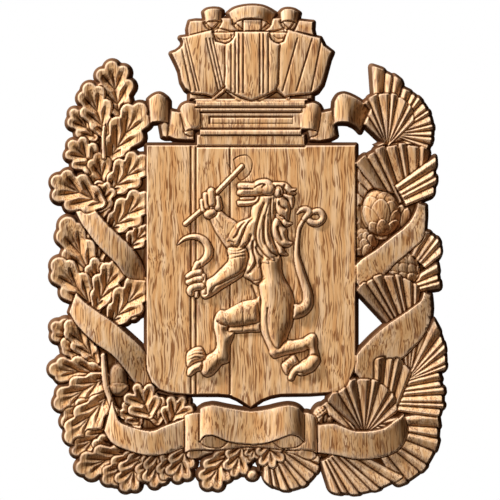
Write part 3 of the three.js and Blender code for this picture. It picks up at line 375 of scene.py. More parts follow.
TUFTS = [
    [(21, 18), (24, 8), (27, 0), (29, -4), (33, -5.5), (38, -5), (35, -2), (33, 3), (29, 8), (26, 20)],
    [(24, 31), (21, 24), (22, 15), (26, 8), (31, 3.5), (35, 2.5), (39, 3.5), (42.5, 7), (39, 9), (37, 13),
     (36.5, 20), (33, 24), (29, 32)],
    [(24, 40), (26, 33), (30, 29), (34, 23.5), (38, 23.5), (42.5, 26.5), (39, 27.5), (37, 31), (37, 36),
     (32, 44)],
    [(31, 56), (34, 52), (38, 49), (40, 44), (42, 41), (43.5, 46), (44, 51), (42, 54.5), (37, 58)],
    [(25, 52), (25, 42), (28, 35), (33, 32), (38, 29), (39.5, 36), (40, 43), (38, 48), (34, 52), (29, 56)],
    [(20, 64), (22, 67), (30, 67.3), (36, 66.5), (40, 63), (42, 61), (46.5, 60.5), (43, 58), (46, 56),
     (42, 54.3), (36, 55), (31, 57), (26, 58)],
]
FURROWS = [
    [(14, 46), (11, 38), (8.5, 30), (7, 24), (6, 16), (6.5, 10), (8, 5), (11, 0), (15, -5), (20, -9)],
    [(15, 33), (14, 26), (14, 16), (15, 8), (18, 2), (22, -3), (27, -6)],
    [(21, 50), (20.5, 38), (21, 28), (21, 18), (23, 10), (26, 2)],
    [(2, 31), (-3, 25), (-6, 18), (-9, 10), (-11, 5), (-13, 3)],
    [(-5, 28), (-10, 22), (-13, 15), (-16, 12)],
    [(3, 8), (3, -2), (5, -8), (5.5, -14), (2, -19), (-2, -23)],
    [(25, 45), (25.5, 38), (28, 33.5), (33, 30)], [(28, 22), (29.5, 16), (32, 10)],
    [(29, 46), (31, 43), (35, 40.5)], [(35, 65), (34, 61), (37, 57)], [(1, 14), (-1, 8), (-5, 3)],
    [(6, 2), (9, -4), (13, -8)],
]
FINE_LINES = [
    [(19, 47), (17, 40), (15.5, 35)], [(18, 35), (18, 25), (18.5, 15), (21, 6)], [(-21, 9), (-15, 7.5)],
    [(24, 52), (23, 44), (23, 36)], [(10, 20), (10, 10), (13, 2)],
    [(-24, 3), (-20, -0.5), (-12, -1), (-4, 2)], [(-22, -6), (-18, -4), (-12, -3.5), (-3, -1.5)],
    [(-20, -9), (-13, -7), (-5, -6)], [(0, 0), (-1, -8), (-3, -14)], [(34, 32), (36, 29), (39, 27.5)],
    [(3, -31), (9, -30), (14, -26)], [(6, -33.5), (11, -31), (15, -28)],
    [(-8, -51), (-7, -60), (-6.5, -70), (-7, -80)], [(-34, 32), (-30, 25), (-27, 21)],
    [(-61, -103), (-53, -99.5), (-46, -100.5)], [(-61.5, -106.5), (-54, -103), (-45, -104)],
    [(-62, -110), (-54, -106.5), (-46, -107.5)], [(36, -110), (39, -112), (41, -115)],
    [(33.5, -113), (37, -116), (39, -119)],
]
BODY_LINES = [
    [(17.5, -58), (17, -70), (18, -80), (20, -88), (23, -94), (26, -97.5), (29, -97.5), (32, -94),
     (35, -90)],
    [(-6, -20), (-12, -25), (-20, -29), (-28, -33), (-34, -35.5), (-36, -38), (-38, -41)],
    [(2, -36), (5, -43), (7.5, -52), (8.5, -60), (9.5, -66), (10, -70)],
]
HEAD = [
    (-12.6, 63.8), (-11, 66.5), (-5, 67), (3, 66.5), (6, 68.5), (10, 70), (16, 70.5), (20, 69), (23, 66),
    (25.5, 62), (24.5, 58), (21, 54), (16, 53.7), (8, 53.5), (-2, 53.7), (-9.5, 53.8), (-12.3, 55),
    (-12.9, 57.5), (-11.6, 60.3),
]
JAW = [
    (-12.5, 46), (-11, 43.8), (-4, 43.8), (3, 44.8), (7, 47), (9.5, 51), (9, 54), (6.5, 53), (4.5, 50),
    (-4, 48.9), (-12, 48.7),
]
TONGUE = [(-9, 50.9, 1), (-2, 51, 1.3), (4, 51, 1)]
FACE = [
    [(-9.5, 63.6, 2.7), (3, 63.6, 2.7)], [(-9, 57, 2.9), (6, 57.2, 3)], [(16, 60, 5.5), (19, 59.5, 5.5)],
]
EAR = [(24, 61), (27.5, 64), (31.8, 62.3), (33.6, 57.5), (31.3, 52.7), (26, 51.8), (23.5, 56)]
EAR_HOLLOW = [(25.5, 61), (28.8, 61.3), (30.8, 58.5), (30.3, 55)]
FACE_LINES = [
    [(-12, 60.4), (3, 60.4)], [(5, 62), (8, 64), (12, 65.3), (15, 64.5)], [(12.3, 62.3), (14.5, 64.6)],
]

# Pedestal. A moulding is its left, right, bottom, top and height; a shadow its left, right and z.
MOULDINGS = [
    (-53, 55, 103, 115, 25), (-50, 51.5, 114, 120.5, 27), (-48, 48.5, 120, 138, 24.5),
    (-49, 51.5, 137, 142.5, 27), (-54, 55, 142, 148.5, 29),
]
CORNICE = [(-56, 148), (59, 148), (56, 152), (-53, 152)]
CORNICE_LEVEL = 27
PEDESTAL_PANEL = (-40, 42.5, 125.5, 132)
# Painted shade on the pedestal
PEDESTAL_SHADE = 0.1
SLAB_SHADOWS = ((-53, 54, 141.6), (-48, 50, 136.8), (-49, 50, 120), (-52, 54, 102.9))

# Crown: outlines with their heights, from the tower tops at the back to the shield in front
TOWERS = [
    ([(-36, 205), (38, 205), (38, 228), (-36, 228)], 23),
    ([(-46, 152), (46, 152), (40, 216), (-40, 216)], 24.2),
    ([(-60, 150), (62, 150), (62, 175), (-60, 175)], 20),
    ([(-32, 231), (-7, 230), (-7, 217), (-20, 218), (-32, 221)], 24),
    ([(12, 230), (38, 231), (38, 221), (25, 218), (12, 217)], 24),
    ([(-6.5, 229), (11.5, 229), (11.5, 216), (-6.5, 216)], 24),
    ([(-60, 227.5), (-54, 228.5), (-44, 228), (-38, 217), (-61, 211), (-62, 220)], 24),
    ([(49, 228.5), (63, 227), (62.5, 220), (64, 213), (44, 217)], 24),
    ([(-46, 229), (-29, 229), (-33, 217), (-40, 217)], 24),
    ([(31, 229), (47, 229), (42, 217), (35, 217)], 24),
]
SMALL_SCROLLS = [
    [(-46, 237, -44, 225.5, 21), (-43, 239.3, -42, 227, 25), (-37, 240.3, -37, 227.8, 26.5),
     (-31, 239.8, -31, 227.5, 25), (-28, 238, -28.5, 227, 21)],
    [(30, 236, 31, 226, 21), (33, 239, 33, 227.5, 25), (38, 240, 38, 228, 26.5), (44, 239, 44, 227, 25),
     (49, 236, 46.5, 225.5, 21)],
]
BIG_SCROLL = [
    (-21.5, 236, -16, 224, 20), (-16, 240, -12, 227.5, 24), (-8, 242.3, -6, 229.5, 27),
    (2, 243.3, 2, 230, 28), (12, 242.3, 10, 229.3, 27), (19, 239.5, 16, 227.5, 24),
    (25.5, 235.5, 20.5, 224, 20),
]
CURL_LEVEL = 19
CURLS = [
    [(-45, 226, 1.6), (-42, 221.5, 1.8), (-38, 219, 1.4)],
    [(-29, 227, 1.6), (-32, 222.5, 1.8), (-36, 219, 1.4)],
    [(31, 227, 1.6), (34, 222.5, 1.8), (38, 219.5, 1.4)],
    [(46, 227, 1.6), (43, 222, 1.8), (40, 219.5, 1.4)], [(-16, 225, 2), (-12, 221, 2.2), (-8, 218.5, 1.6)],
    [(20, 225, 2), (16, 221, 2.2), (12, 218.5, 1.6)],
]
SWAGS = [
    [(-36, 218), (-33, 212), (-28, 209), (-21, 210), (-16, 215)],
    [(-31, 210), (-27, 205.5), (-22, 205.5), (-18, 209)],
    [(20, 214), (22, 208), (26, 205), (31, 205.5), (34, 210)], [(24, 213), (28, 210), (34, 211), (37, 215)],
]
CROWN_LEFT = [
    (-78.5, 196), (-74, 197.5), (-70, 200.3), (-67.3, 203.5), (-66.6, 207), (-68, 210), (-69.5, 211.7),
    (-60, 213), (-38, 218.5), (-34, 207), (-22, 204), (-22, 165), (-27, 161), (-37, 152), (-44, 154),
    (-58, 155.5), (-64, 160), (-68, 167), (-70, 178), (-73, 185),
]
CROWN_RIGHT = [
    (38, 219), (60, 213), (70, 211), (74, 203), (82, 197), (79, 190), (75, 175), (72, 165), (67, 158),
    (60, 155), (50, 154), (40, 153), (35, 152), (26, 161), (26, 204), (34, 207),
]
CROWN_CENTRE = [
    (-14.7, 217), (-15, 212.5), (-17, 209), (-20.5, 206), (-24, 204.5), (-24.2, 198), (-24, 179),
    (-25, 165), (-24, 160), (-20, 157), (-10, 152), (1.5, 148), (12, 152), (25, 158), (28, 165),
    (28.5, 179), (29, 198), (30, 204.5), (25, 205.7), (21.5, 208.5), (19.5, 212), (19, 217),
]
# The shields of the crown with their heights and painted shade
CROWN_SHIELDS = [(CROWN_LEFT, 27, 0.0), (CROWN_RIGHT, 27, 0.1), (CROWN_CENTRE, 29, 0.0)]
# Flutes: x, and for the tilted side ones x at either of two heights
CENTRE_FLUTES = (-18.5, -14.3, -10.7, -6.4, 10, 13.6, 18.6)
CENTRE_FLUTE_ENDS = (215, 156)
SIDE_FLUTES = (
    (-67.5, -61), (-63, -56), (-60.5, -53), (-41, -34), (-37.5, -30.8), (-34.5, -27.8), (44.5, 36),
    (59, 50), (69.5, 63.5),
)
SIDE_FLUTES_AT = (200, 170)
SIDE_FLUTE_ENDS = (210, 158)
CHEVRONS = [[(-36, 151), (-24, 160.5), (-10.5, 149.5)], [(38.5, 151), (27, 160.3), (9.5, 149.5)]]
CHEVRON_RADIUS = 1.9
CHEVRON_LEVEL = 24


# The map: heights, the painted shade given to a form, and how far each place lies outside every outline
xs = np.arange(X_RANGE[0], X_RANGE[1] + STEP / 2, STEP)
zs = np.arange(Z_RANGE[0], Z_RANGE[1] + STEP / 2, STEP)
height = np.zeros((len(zs), len(xs)))
painted_part_shade = np.zeros_like(height)
outside = np.full(height.shape, FAR_AWAY)


def window(points, margin=MARGIN):
    """The part of the map round some points, and its x and z."""
    p = np.asarray(points, float).reshape(-1, 2)
    i0, i1 = np.searchsorted(xs, [p[:, 0].min() - margin, p[:, 0].max() + margin])
    j0, j1 = np.searchsorted(zs, [p[:, 1].min() - margin, p[:, 1].max() + margin])
    x, z = np.meshgrid(xs[i0:i1], zs[j0:j1])
    return (slice(j0, j1), slice(i0, i1)), x, z


def lay(part, distance, form, crease=CREASE_DEPTH, painted_shade=0.0):
    """Lays a form over what is there, with a thin crease cut round it, and gives it its painted shade.
    Distance is negative inside.
    """
    inside = distance < 0
    near = np.clip(1 - distance / CREASE_WIDTH, 0, 1) * (distance > 0)
    ground = np.where(height[part] > 0, height[part] - crease * near, height[part])
    height[part] = np.where(inside, form, ground)
    painted_part_shade[part] = np.where(inside, painted_shade, painted_part_shade[part])
    outside[part] = np.minimum(outside[part], distance)


def soft_join(part, distance, form):
    """Joins a form to what is there: the higher of the two shows."""
    height[part] = np.where(distance < 0, np.maximum(height[part], form), height[part])
    outside[part] = np.minimum(outside[part], distance)


def along(x, z, a, b):
    """How far along the line from a to b each point lies, from 0 to 1, and its distance to the line."""
    dx, dz = b[0] - a[0], b[1] - a[1]
    squared = max(dx * dx + dz * dz, TINY)
    t = np.clip(((x - a[0]) * dx + (z - a[1]) * dz) / squared, 0, 1)
    return t, np.hypot(x - a[0] - t * dx, z - a[1] - t * dz)


def to_line(x, z, points):
    """Distance to a line through points."""
    return np.min([along(x, z, a, b)[1] for a, b in zip(points[:-1], points[1:])], axis=0)


def to_outline(x, z, points):
    """Distance to a closed outline, negative inside."""
    distance = np.full(x.shape, np.inf)
    inside = np.zeros(x.shape, bool)
    for a, b in zip(points, np.roll(points, -1, axis=0)):
        distance = np.minimum(distance, along(x, z, a, b)[1])
        if a[1] != b[1]:
            crossing = (b[0] - a[0]) * (z - a[1]) / (b[1] - a[1]) + a[0]
            inside ^= ((a[1] > z) != (b[1] > z)) & (x < crossing)
    return np.where(inside, -distance, distance)


def quarter_round(depth, radius):
    """0 at the outline and 1 from radius inwards, on a quarter circle."""
    t = 1 - np.clip(depth / radius, 0, 1)
    return np.sqrt(np.clip(1 - t * t, 0, 1))


def line_cut(distance, width):
    """1 on a line, falling to nothing beside it."""
    return np.exp(-(distance / width) ** 2)


def smooth(points, steps, closed=False):
    """A smooth curve through rows of numbers, with so many steps from one row to the next."""
    p = np.asarray(points, float)
    n = len(p)
    rows = []
    for k in range(n if closed else n - 1):
        picks = [(k + s) % n if closed else min(max(k + s, 0), n - 1) for s in (-1, 0, 1, 2)]
        a, b, c, d = p[picks]
        for t in np.arange(steps) / steps:
            rows.append(0.5 * (2 * b + (c - a) * t + (2 * a - 5 * b + 4 * c - d) * t * t
                               + (3 * b - a - 3 * c + d) * t ** 3))
    if not closed:
        rows.append(p[-1])
    return np.array(rows)


# What the simple forms share: sizes, and the steps of their curves
DOME_WIDTH = 14.0
PILLOW_STEP = 0.8
LIMB_STEP = 0.6
LIMB_CREASE = 1.2
LIMB_CURVE = 6
GROOVE_CURVE = 8
GROOVE_MARGIN = 4


def plate(outline, level, edge=1.2, drop=1.2, dome=0.0, painted_shade=0.0):
    """A flat form with a rounded edge, and a low dome over it where dome is more than 0."""
    part, x, z = window(outline)
    distance = to_outline(x, z, outline)
    form = level - drop * (1 - quarter_round(-distance, edge))
    lay(part, distance, form + dome * quarter_round(-distance, DOME_WIDTH), painted_shade=painted_shade)


def pillow(outline, rise, edge, ground=SHIELD_LEVEL, crease=1.4, steps=6, lean=0.0, above=None, painted_shade=0.0):
    """A swelling form with a soft outline. With a lean, it falls towards the right. Above keeps it that
    much higher than what it covers."""
    outline = smooth(outline, steps, closed=True)
    part, x, z = window(outline)
    distance = to_outline(x, z, outline)
    slope = lean * (x - outline[:, 0].mean())
    form = ground + PILLOW_STEP + (rise - PILLOW_STEP - slope) * quarter_round(-distance, edge)
    if above is not None:
        form = np.maximum(form, height[part] + above)
    lay(part, distance, form, crease, painted_shade)


def limb(rows, fullness, ground=SHIELD_LEVEL, over=True, painted_shade=0.0):
    """A round form along rows of x, z and radius, laid over what is there or softly joined to it."""
    chain = smooth(rows, LIMB_CURVE) if len(rows) > 2 else np.asarray(rows, float)
    part, x, z = window(chain[:, :2], MARGIN + max(row[2] for row in rows))
    distance = np.full(x.shape, np.inf)
    form = np.zeros(x.shape)
    for a, b in zip(chain[:-1], chain[1:]):
        t, away = along(x, z, a, b)
        radius = a[2] + (b[2] - a[2]) * t
        distance = np.minimum(distance, away - radius)
        swell = np.sqrt(np.clip(radius ** 2 - away ** 2, 0, None))
        form = np.maximum(form, ground + fullness * swell + LIMB_STEP)
    if over:
        lay(part, distance, form, LIMB_CREASE, painted_shade)
    else:
        soft_join(part, distance, form)


def groove(points, depth, width, curved=True):
    """A line cut into what is there."""
    line = smooth(points, GROOVE_CURVE) if curved else np.asarray(points, float)
    part, x, z = window(line, GROOVE_MARGIN)
    cut = depth * line_cut(to_line(x, z, line), width)
    height[part] = np.where(outside[part] < 0, height[part] - cut, height[part])


# A furrow is a sharp line in a wider hollow. Each takes a share of its depth.
HOLLOW_SHARE = 0.5
HOLLOW_WIDTH = 1.8
SHARP_SHARE = 0.6
SHARP_WIDTH = 0.7


def furrow(points, depth):
    groove(points, depth=depth * HOLLOW_SHARE, width=HOLLOW_WIDTH)
    groove(points, depth=depth * SHARP_SHARE, width=SHARP_WIDTH)


# Leaves. Each pair of lobes has the shares of the length where its veins start and end, and its share of
# the width. A lobe's radius is a share of the width, but at most a share of the length.
THREE_PAIRS = ((0.0, 0.18, 0.72), (0.14, 0.46, 1.0), (0.42, 0.74, 0.86))
THREE_PAIRS_RADIUS = 0.135
TWO_PAIRS = ((0.04, 0.32, 0.95), (0.34, 0.68, 0.92))
TWO_PAIRS_RADIUS = 0.17
LONG_LEAF = 40
LOBE_WIDTH = 0.46
LOBE_TAPER = 0.8
LOBE_BLEND = 0.5
TIP_RADIUS = 0.13
TIP_ROUND = 0.6
TIP_SETBACK = 2.5
BODY_LENGTH = 0.85
EXPONENT_LIMIT = 60.0
WINDOW_SHARES = (0, 0.5, 0.95)
BODY_WIDTH = 0.55
BODY_ENDS = 0.3
BODY_SKEW = 0.8
LEAF_TILT = 2.0
LEAF_EDGE = 2.4
LEAF_DROP = 2.8
VALLEY_DEPTH = 6.4
VALLEY_POWER = 1.1
VALLEY_WIDTH = (1.5, 0.1)
VALLEY_END = (1.1, 0.5)
VEIN_DEPTH = 1.6
MIDRIB_HEIGHT = 0.9
VEIN_WIDTH = 0.5


def lobes_and_veins(at, axis, length, left, right):
    """A leaf's lobes, each with its root and end and its radius at both, and its veins."""
    tip_radius = TIP_RADIUS * length + TIP_ROUND
    lobes = [(at(0.5), at(1) - axis * tip_radius, tip_radius * LOBE_TAPER, tip_radius)]
    veins = [(at(0), lobes[0][1])]
    long = length > LONG_LEAF
    pairs, most = (THREE_PAIRS, THREE_PAIRS_RADIUS) if long else (TWO_PAIRS, TWO_PAIRS_RADIUS)
    for side, width in ((1, left), (-1, right)):
        radius = min(LOBE_WIDTH * width, most * length)
        for root_share, end_share, width_share in pairs:
            root = at(root_share)
            end = at(end_share, side * (width * width_share - radius))
            lobes.append((root, end, radius * LOBE_TAPER, radius))
            veins.append((root, end))
    return lobes, veins


def valleys(x, z, veins, length):
    """How deep a leaf is cut along its veins."""
    cut = np.zeros(x.shape)
    for a, b in veins:
        t, away = along(x, z, a, b)
        fade = np.clip((VALLEY_END[0] - t) / VALLEY_END[1], 0, 1)
        slope = np.clip(1 - away / (VALLEY_WIDTH[0] + VALLEY_WIDTH[1] * length), 0, 1)
        valley = VALLEY_DEPTH * slope ** VALLEY_POWER + VEIN_DEPTH * line_cut(away, VEIN_WIDTH)
        cut = np.maximum(cut, fade * valley)
    return cut


def leaf(base_x, base_z, tip_x, tip_z, left, right, level, painted_shade=0.0):
    """An oak leaf: a lobe round each side vein and at the tip, with valleys along the veins."""
    base = np.array((base_x, base_z), float)
    span = np.array((tip_x, tip_z), float) - base
    length = np.hypot(*span) - TIP_SETBACK
    axis = span / np.hypot(*span)
    normal = np.array([-axis[1], axis[0]])

    def at(share, side=0.0):
        return base + axis * share * length + normal * side

    def blend(depth):
        return np.exp(np.clip(depth / LOBE_BLEND, -EXPONENT_LIMIT, EXPONENT_LIMIT))

    corners = [at(share, side) for share in WINDOW_SHARES for side in (left, -right)]
    part, x, z = window(corners + [at(1)])
    share, beside = along(x, z, at(0), at(BODY_LENGTH))
    fullness = BODY_ENDS + (1 - BODY_ENDS) * np.sin(math.pi * share ** BODY_SKEW)
    total = blend(min(left, right) * BODY_WIDTH * fullness - beside)
    lobes, veins = lobes_and_veins(at, axis, length, left, right)
    for a, b, narrow, wide in lobes:
        t, away = along(x, z, a, b)
        total += blend(narrow + (wide - narrow) * t - away)
    distance = -LOBE_BLEND * np.log(total)
    form = level + LEAF_TILT * (share - 0.5) - LEAF_DROP * (1 - quarter_round(-distance, LEAF_EDGE))
    midrib = MIDRIB_HEIGHT * line_cut(along(x, z, *veins[0])[1], VEIN_WIDTH)
    lay(part, distance, form - valleys(x, z, veins, length) + midrib, painted_shade=painted_shade)


# Fans. Uneven is how much the blades differ in width. A ridge stands beside the middle of its blade, on
# one side and the other in turn.
UNEVEN = 0.24
UNEVEN_TURN = 2.4
REACH_CHANGE = 0.01
OVERREACH = 1.03
NARROWEST = 0.8
BLADE_BULGE = 4.0
BLADE_TILT = 2.0
BLADE_CORNER = 2.8
BLADE_CUT = 1.4
BLADE_STEP = 0.3
BLADE_CREASE = CREASE_DEPTH * 0.8
RIDGE = 0.3
RIDGE_POWER = 0.55


def parabola(share, first, middle, last):
    """A value that is first at 0, middle at a half and last at 1."""
    return (2 * (share - 0.5) * (share - 1) * first + 4 * share * (1 - share) * middle
            + 2 * share * (share - 0.5) * last)


def round_corner(beside, beyond, radius):
    """Distance to the outline of two edges that meet in a round corner."""
    beside = beside + radius
    beyond = beyond + radius
    return (np.minimum(np.maximum(beside, beyond), 0) - radius
            + np.hypot(np.maximum(beside, 0), np.maximum(beyond, 0)))


def fan(pivot_x, pivot_z, start, end, blades, first, middle, last, inner, level, lean=0.0, painted_shade=0.0):
    """A fan of pleated blades round a pivot. Their reach follows a parabola across the fan. With a lean,
    the whole fan falls towards the lower right."""
    bisector = math.radians((start + end) / 2)
    centre_x = pivot_x + (inner + middle) / 2 * math.cos(bisector)
    centre_z = pivot_z + (inner + middle) / 2 * math.sin(bisector)
    far = max(first, middle, last) * OVERREACH
    shares = np.cumsum(1 + UNEVEN * np.cos(UNEVEN_TURN * np.arange(blades)))
    shares = np.concatenate([[0], shares / shares[-1]])
    for k in range(blades):
        edges = [math.radians(start + (end - start) * share) for share in shares[k:k + 2]]
        half = abs(edges[1] - edges[0]) / 2
        part, x, z = window([(pivot_x + r * math.cos(edge), pivot_z + r * math.sin(edge))
                             for r in (inner, far) for edge in edges])
        dx, dz = x - pivot_x, z - pivot_z
        radius = np.hypot(dx, dz)
        turn = (np.arctan2(dz, dx) - sum(edges) / 2 + math.pi) % (2 * math.pi) - math.pi
        half_width = np.maximum(radius * math.sin(half), NARROWEST)
        across = radius * np.sin(turn) / half_width
        share = shares[k] + (shares[k + 1] - shares[k]) * (1 + across * math.copysign(1, end - start)) / 2
        reach = parabola(share, first, middle, last) * (1 + REACH_CHANGE * (-1) ** k)
        beside = (np.abs(across) - 1) * half_width
        distance = round_corner(beside, radius * np.cos(turn) - reach, np.minimum(BLADE_CORNER, half_width))
        distance = np.maximum(distance, inner - radius)
        distance = np.where(np.cos(turn) > 0, distance, FAR_AWAY)
        ridge = RIDGE * (-1) ** k
        pleat = np.where(across < ridge, (across + 1) / (ridge + 1), (1 - across) / (1 - ridge))
        profile = np.clip(pleat, 0, 1) ** RIDGE_POWER * quarter_round(-distance + BLADE_STEP, BLADE_CUT)
        form = level + BLADE_BULGE * (profile - 1) + BLADE_TILT * (radius - inner) / (far - inner)
        form -= lean * ((x - centre_x) - (z - centre_z)) / math.sqrt(2)
        lay(part, distance, form, BLADE_CREASE, painted_shade)


# Ribbon: its round edge, and how finely its length and its width are worked out
RIBBON_EDGE = 0.9
RIBBON_CURVE = 14
FINE_CURVE = 5
RIBBON_PLACES = 140
SPREAD_ROUNDS = 3


def spread(total, count):
    """Fills the cells round the known ones from their neighbours."""
    for _ in range(SPREAD_ROUNDS):
        known = count > 0
        near_total, near_count = np.zeros_like(total), np.zeros_like(count)
        for shift in ((0, 1), (0, -1), (1, 0), (-1, 0)):
            near_total += np.roll(total, shift, (0, 1))
            near_count += np.roll(count, shift, (0, 1))
        total = np.where(known, total, near_total)
        count = np.where(known, count, near_count)
    return total / np.maximum(count, TINY)


def ribbon(stations, lean=0.0, painted_shade=0.0):
    """A strip between two edges, whose height passes smoothly through its stations. With a lean, its
    first edge is higher than its second."""
    curve = smooth(stations, RIBBON_CURVE)
    outline = np.vstack([curve[:, 0:2], curve[::-1, 2:4]])
    part, x, z = window(outline)
    distance = to_outline(x, z, outline)
    fine = smooth(curve, FINE_CURVE)
    across = np.linspace(0, 1, RIBBON_PLACES)
    px = fine[:, None, 0] * (1 - across) + fine[:, None, 2] * across
    pz = fine[:, None, 1] * (1 - across) + fine[:, None, 3] * across
    level = (fine[:, None, 4] + lean * (0.5 - across)).ravel()
    i = np.rint((px.ravel() - x[0, 0]) / STEP).astype(int)
    j = np.rint((pz.ravel() - z[0, 0]) / STEP).astype(int)
    kept = (i >= 0) & (j >= 0) & (i < x.shape[1]) & (j < x.shape[0])
    cell = j[kept] * x.shape[1] + i[kept]
    total = np.bincount(cell, level[kept], x.size).reshape(x.shape)
    count = np.bincount(cell, minlength=x.size).reshape(x.shape)
    form = spread(total, count.astype(float)) - RIBBON_EDGE * (1 - quarter_round(-distance, RIBBON_EDGE))
    lay(part, distance, form, painted_shade=painted_shade)


# Scales of the buds
PETAL_MIDDLE = 0.55
PETAL_BASE = 0.6
PETAL_TIP_POWER = 0.6
PETAL_BULGE = 1.1
PETAL_LIFT = 1.3
PETAL_LIP = 0.5
PETAL_LIP_WIDTH = 0.5
PETAL_LIP_SETBACK = 0.8
PETAL_CREASE = 1.3
# Painted shade on the buds and the cones
BUD_SHADE = 0.15


def petal(base_x, base_z, tip_x, tip_z, half_width, stand, swell):
    """One scale of a bud, round at its tip and with a thin raised lip, on the swelling of the bud."""
    dx, dz = tip_x - base_x, tip_z - base_z
    length = math.hypot(dx, dz)
    part, x, z = window([(base_x, base_z), (tip_x, tip_z)], MARGIN + half_width)
    t = ((x - base_x) * dx + (z - base_z) * dz) / length ** 2
    across = ((z - base_z) * dx - (x - base_x) * dz) / length
    low = PETAL_BASE + (1 - PETAL_BASE) * np.sin(math.pi / 2 * np.clip(t / PETAL_MIDDLE, 0, 1))
    past_middle = np.clip((t - PETAL_MIDDLE) / (1 - PETAL_MIDDLE), 0, 1)
    high = np.clip(1 - past_middle ** 2, 0, 1) ** PETAL_TIP_POWER
    distance = np.maximum(np.abs(across) - half_width * low * high, np.maximum(-t, t - 1) * length)
    form = swell(x, z) + stand + PETAL_LIFT * (t - 0.5) - PETAL_BULGE * (across / half_width) ** 2
    lip = PETAL_LIP * line_cut(distance + PETAL_LIP_SETBACK, PETAL_LIP_WIDTH)
    lay(part, distance, form + lip, PETAL_CREASE, BUD_SHADE)


def bud(x0, z0, turn, half_length, half_width, foot, rise, petals):
    """A bud of overlapping scales."""
    a = math.radians(turn)

    def share(x, z):
        u = ((x - x0) * math.cos(a) + (z - z0) * math.sin(a)) / half_length
        v = ((z - z0) * math.cos(a) - (x - x0) * math.sin(a)) / half_width
        return np.hypot(u, v)

    def swell(x, z):
        return foot + rise * np.sqrt(np.clip(1 - share(x, z) ** 2, 0, 1))

    part, x, z = window([(x0 - half_length, z0 - half_length), (x0 + half_length, z0 + half_length)])
    lay(part, (share(x, z) - 1) * half_width, swell(x, z) - 1, painted_shade=BUD_SHADE)
    for row in petals:
        petal(*row, swell)


# Scales of the cones
CONE_RISE = 6.5
SCALE_RISE = 1.6
SCALE_TILT = 2.0
SCALE_ROWS = 10
ROW_SPACING = 0.5
SCALE_WIDTH = 1.85
SCALE_LENGTH = 1.1
SCALE_POWER = 1.7
SCALE_GAP = 0.9
SCALE_GAP_WIDTH = 0.12


def cone(x0, z0, turn, half_length, half_width, level, scale):
    """A cone of overlapping scales on an egg-shaped body, from its tip back to its foot."""
    a = math.radians(turn)
    part, x, z = window([(x0 - half_length, z0 - half_length), (x0 + half_length, z0 + half_length)])
    u = (x - x0) * math.cos(a) + (z - z0) * math.sin(a)
    v = -(x - x0) * math.sin(a) + (z - z0) * math.cos(a)
    share = np.hypot(u / half_length, v / half_width)
    ball = np.sqrt(np.clip(1 - share * share, 0, 1))
    across = np.arcsin(np.clip(v / half_width, -1, 1)) * half_width / scale
    scales = np.zeros(x.shape)
    for row in range(-SCALE_ROWS, SCALE_ROWS + 1):
        centre = -row * scale * ROW_SPACING
        beside = (across + 0.5 * (row % 2)) % 1.0 - 0.5
        du = (u - centre) / scale
        away = (np.abs(beside) * SCALE_WIDTH) ** SCALE_POWER + np.abs(du * SCALE_LENGTH) ** SCALE_POWER
        away = away ** (1 / SCALE_POWER)
        tile = SCALE_RISE * (1 - 0.5 * away ** 2) + SCALE_TILT * du
        gap = SCALE_GAP * line_cut(away - 1, SCALE_GAP_WIDTH)
        scales = np.where(away < 1, tile, scales - gap)
    form = level + CONE_RISE * ball + scales
    lay(part, (share - 1) * min(half_length, half_width), form, painted_shade=BUD_SHADE)


def garlands():
    """The low panels, then the leaves, fans, buds, cones and ribbons, back to front."""
    for outline in PANELS:
        part, x, z = window(outline)
        lay(part, to_outline(x, z, outline), WEB_LEVEL, crease=0)
    for row in LEAVES_BEHIND:
        leaf(*row)
    for row in LEAVES_AT_FOOT:
        leaf(*row, painted_shade=LEAVES_AT_FOOT_SHADE)
    for rows in STEMS:
        limb(rows, fullness=0.9, ground=STEM_LEVEL)
    pillow(ACORN_NUT, rise=7, edge=8, ground=ACORN_LEVEL, painted_shade=ACORN_SHADE)
    pillow(ACORN_CUP, rise=8.2, edge=5.5, ground=ACORN_LEVEL, crease=0.8, above=0.7, painted_shade=ACORN_SHADE)
    for row in FANS_BEHIND:
        fan(*row)
    for body, petals in BUDS:
        bud(*body, petals)
    for row in CONES:
        cone(*row)
    for row in CONE_BRACTS:
        petal(*row, lambda x, z: BRACT_LEVEL)
    for stations in SCROLLS + RIBBON_LEFT:
        ribbon(stations)
    for row in LEAVES_MIDDLE:
        leaf(*row)
    ribbon(RIBBON_RIGHT_HIGH, HIGH_LEAN)
    for row in FANS_MIDDLE:
        fan(*row)
    ribbon(RIBBON_RIGHT_LOW, LOW_LEAN, painted_shade=LOW_RIBBON_SHADE)
    for row in FANS_FRONT:
        fan(*row)
    ribbon(RIBBON_BASE_LEFT)
    ribbon(RIBBON_BASE_RIGHT, LOW_LEAN, painted_shade=BASE_RIBBON_SHADE)
    for row in LEAVES_OVER:
        leaf(*row)
    for row in LEAVES_BELOW:
        leaf(*row, painted_shade=LEAVES_BELOW_SHADE)
    limb(BERRY, fullness=0.9, ground=BERRY_LEVEL)


def shield():
    plate(SHIELD, SHIELD_LEVEL, drop=0.8)
    for x in SCORED_LINES:
        groove([(x, SCORED_TOP), (x, SCORED_FOOT)], depth=1.8, width=0.8, curved=False)


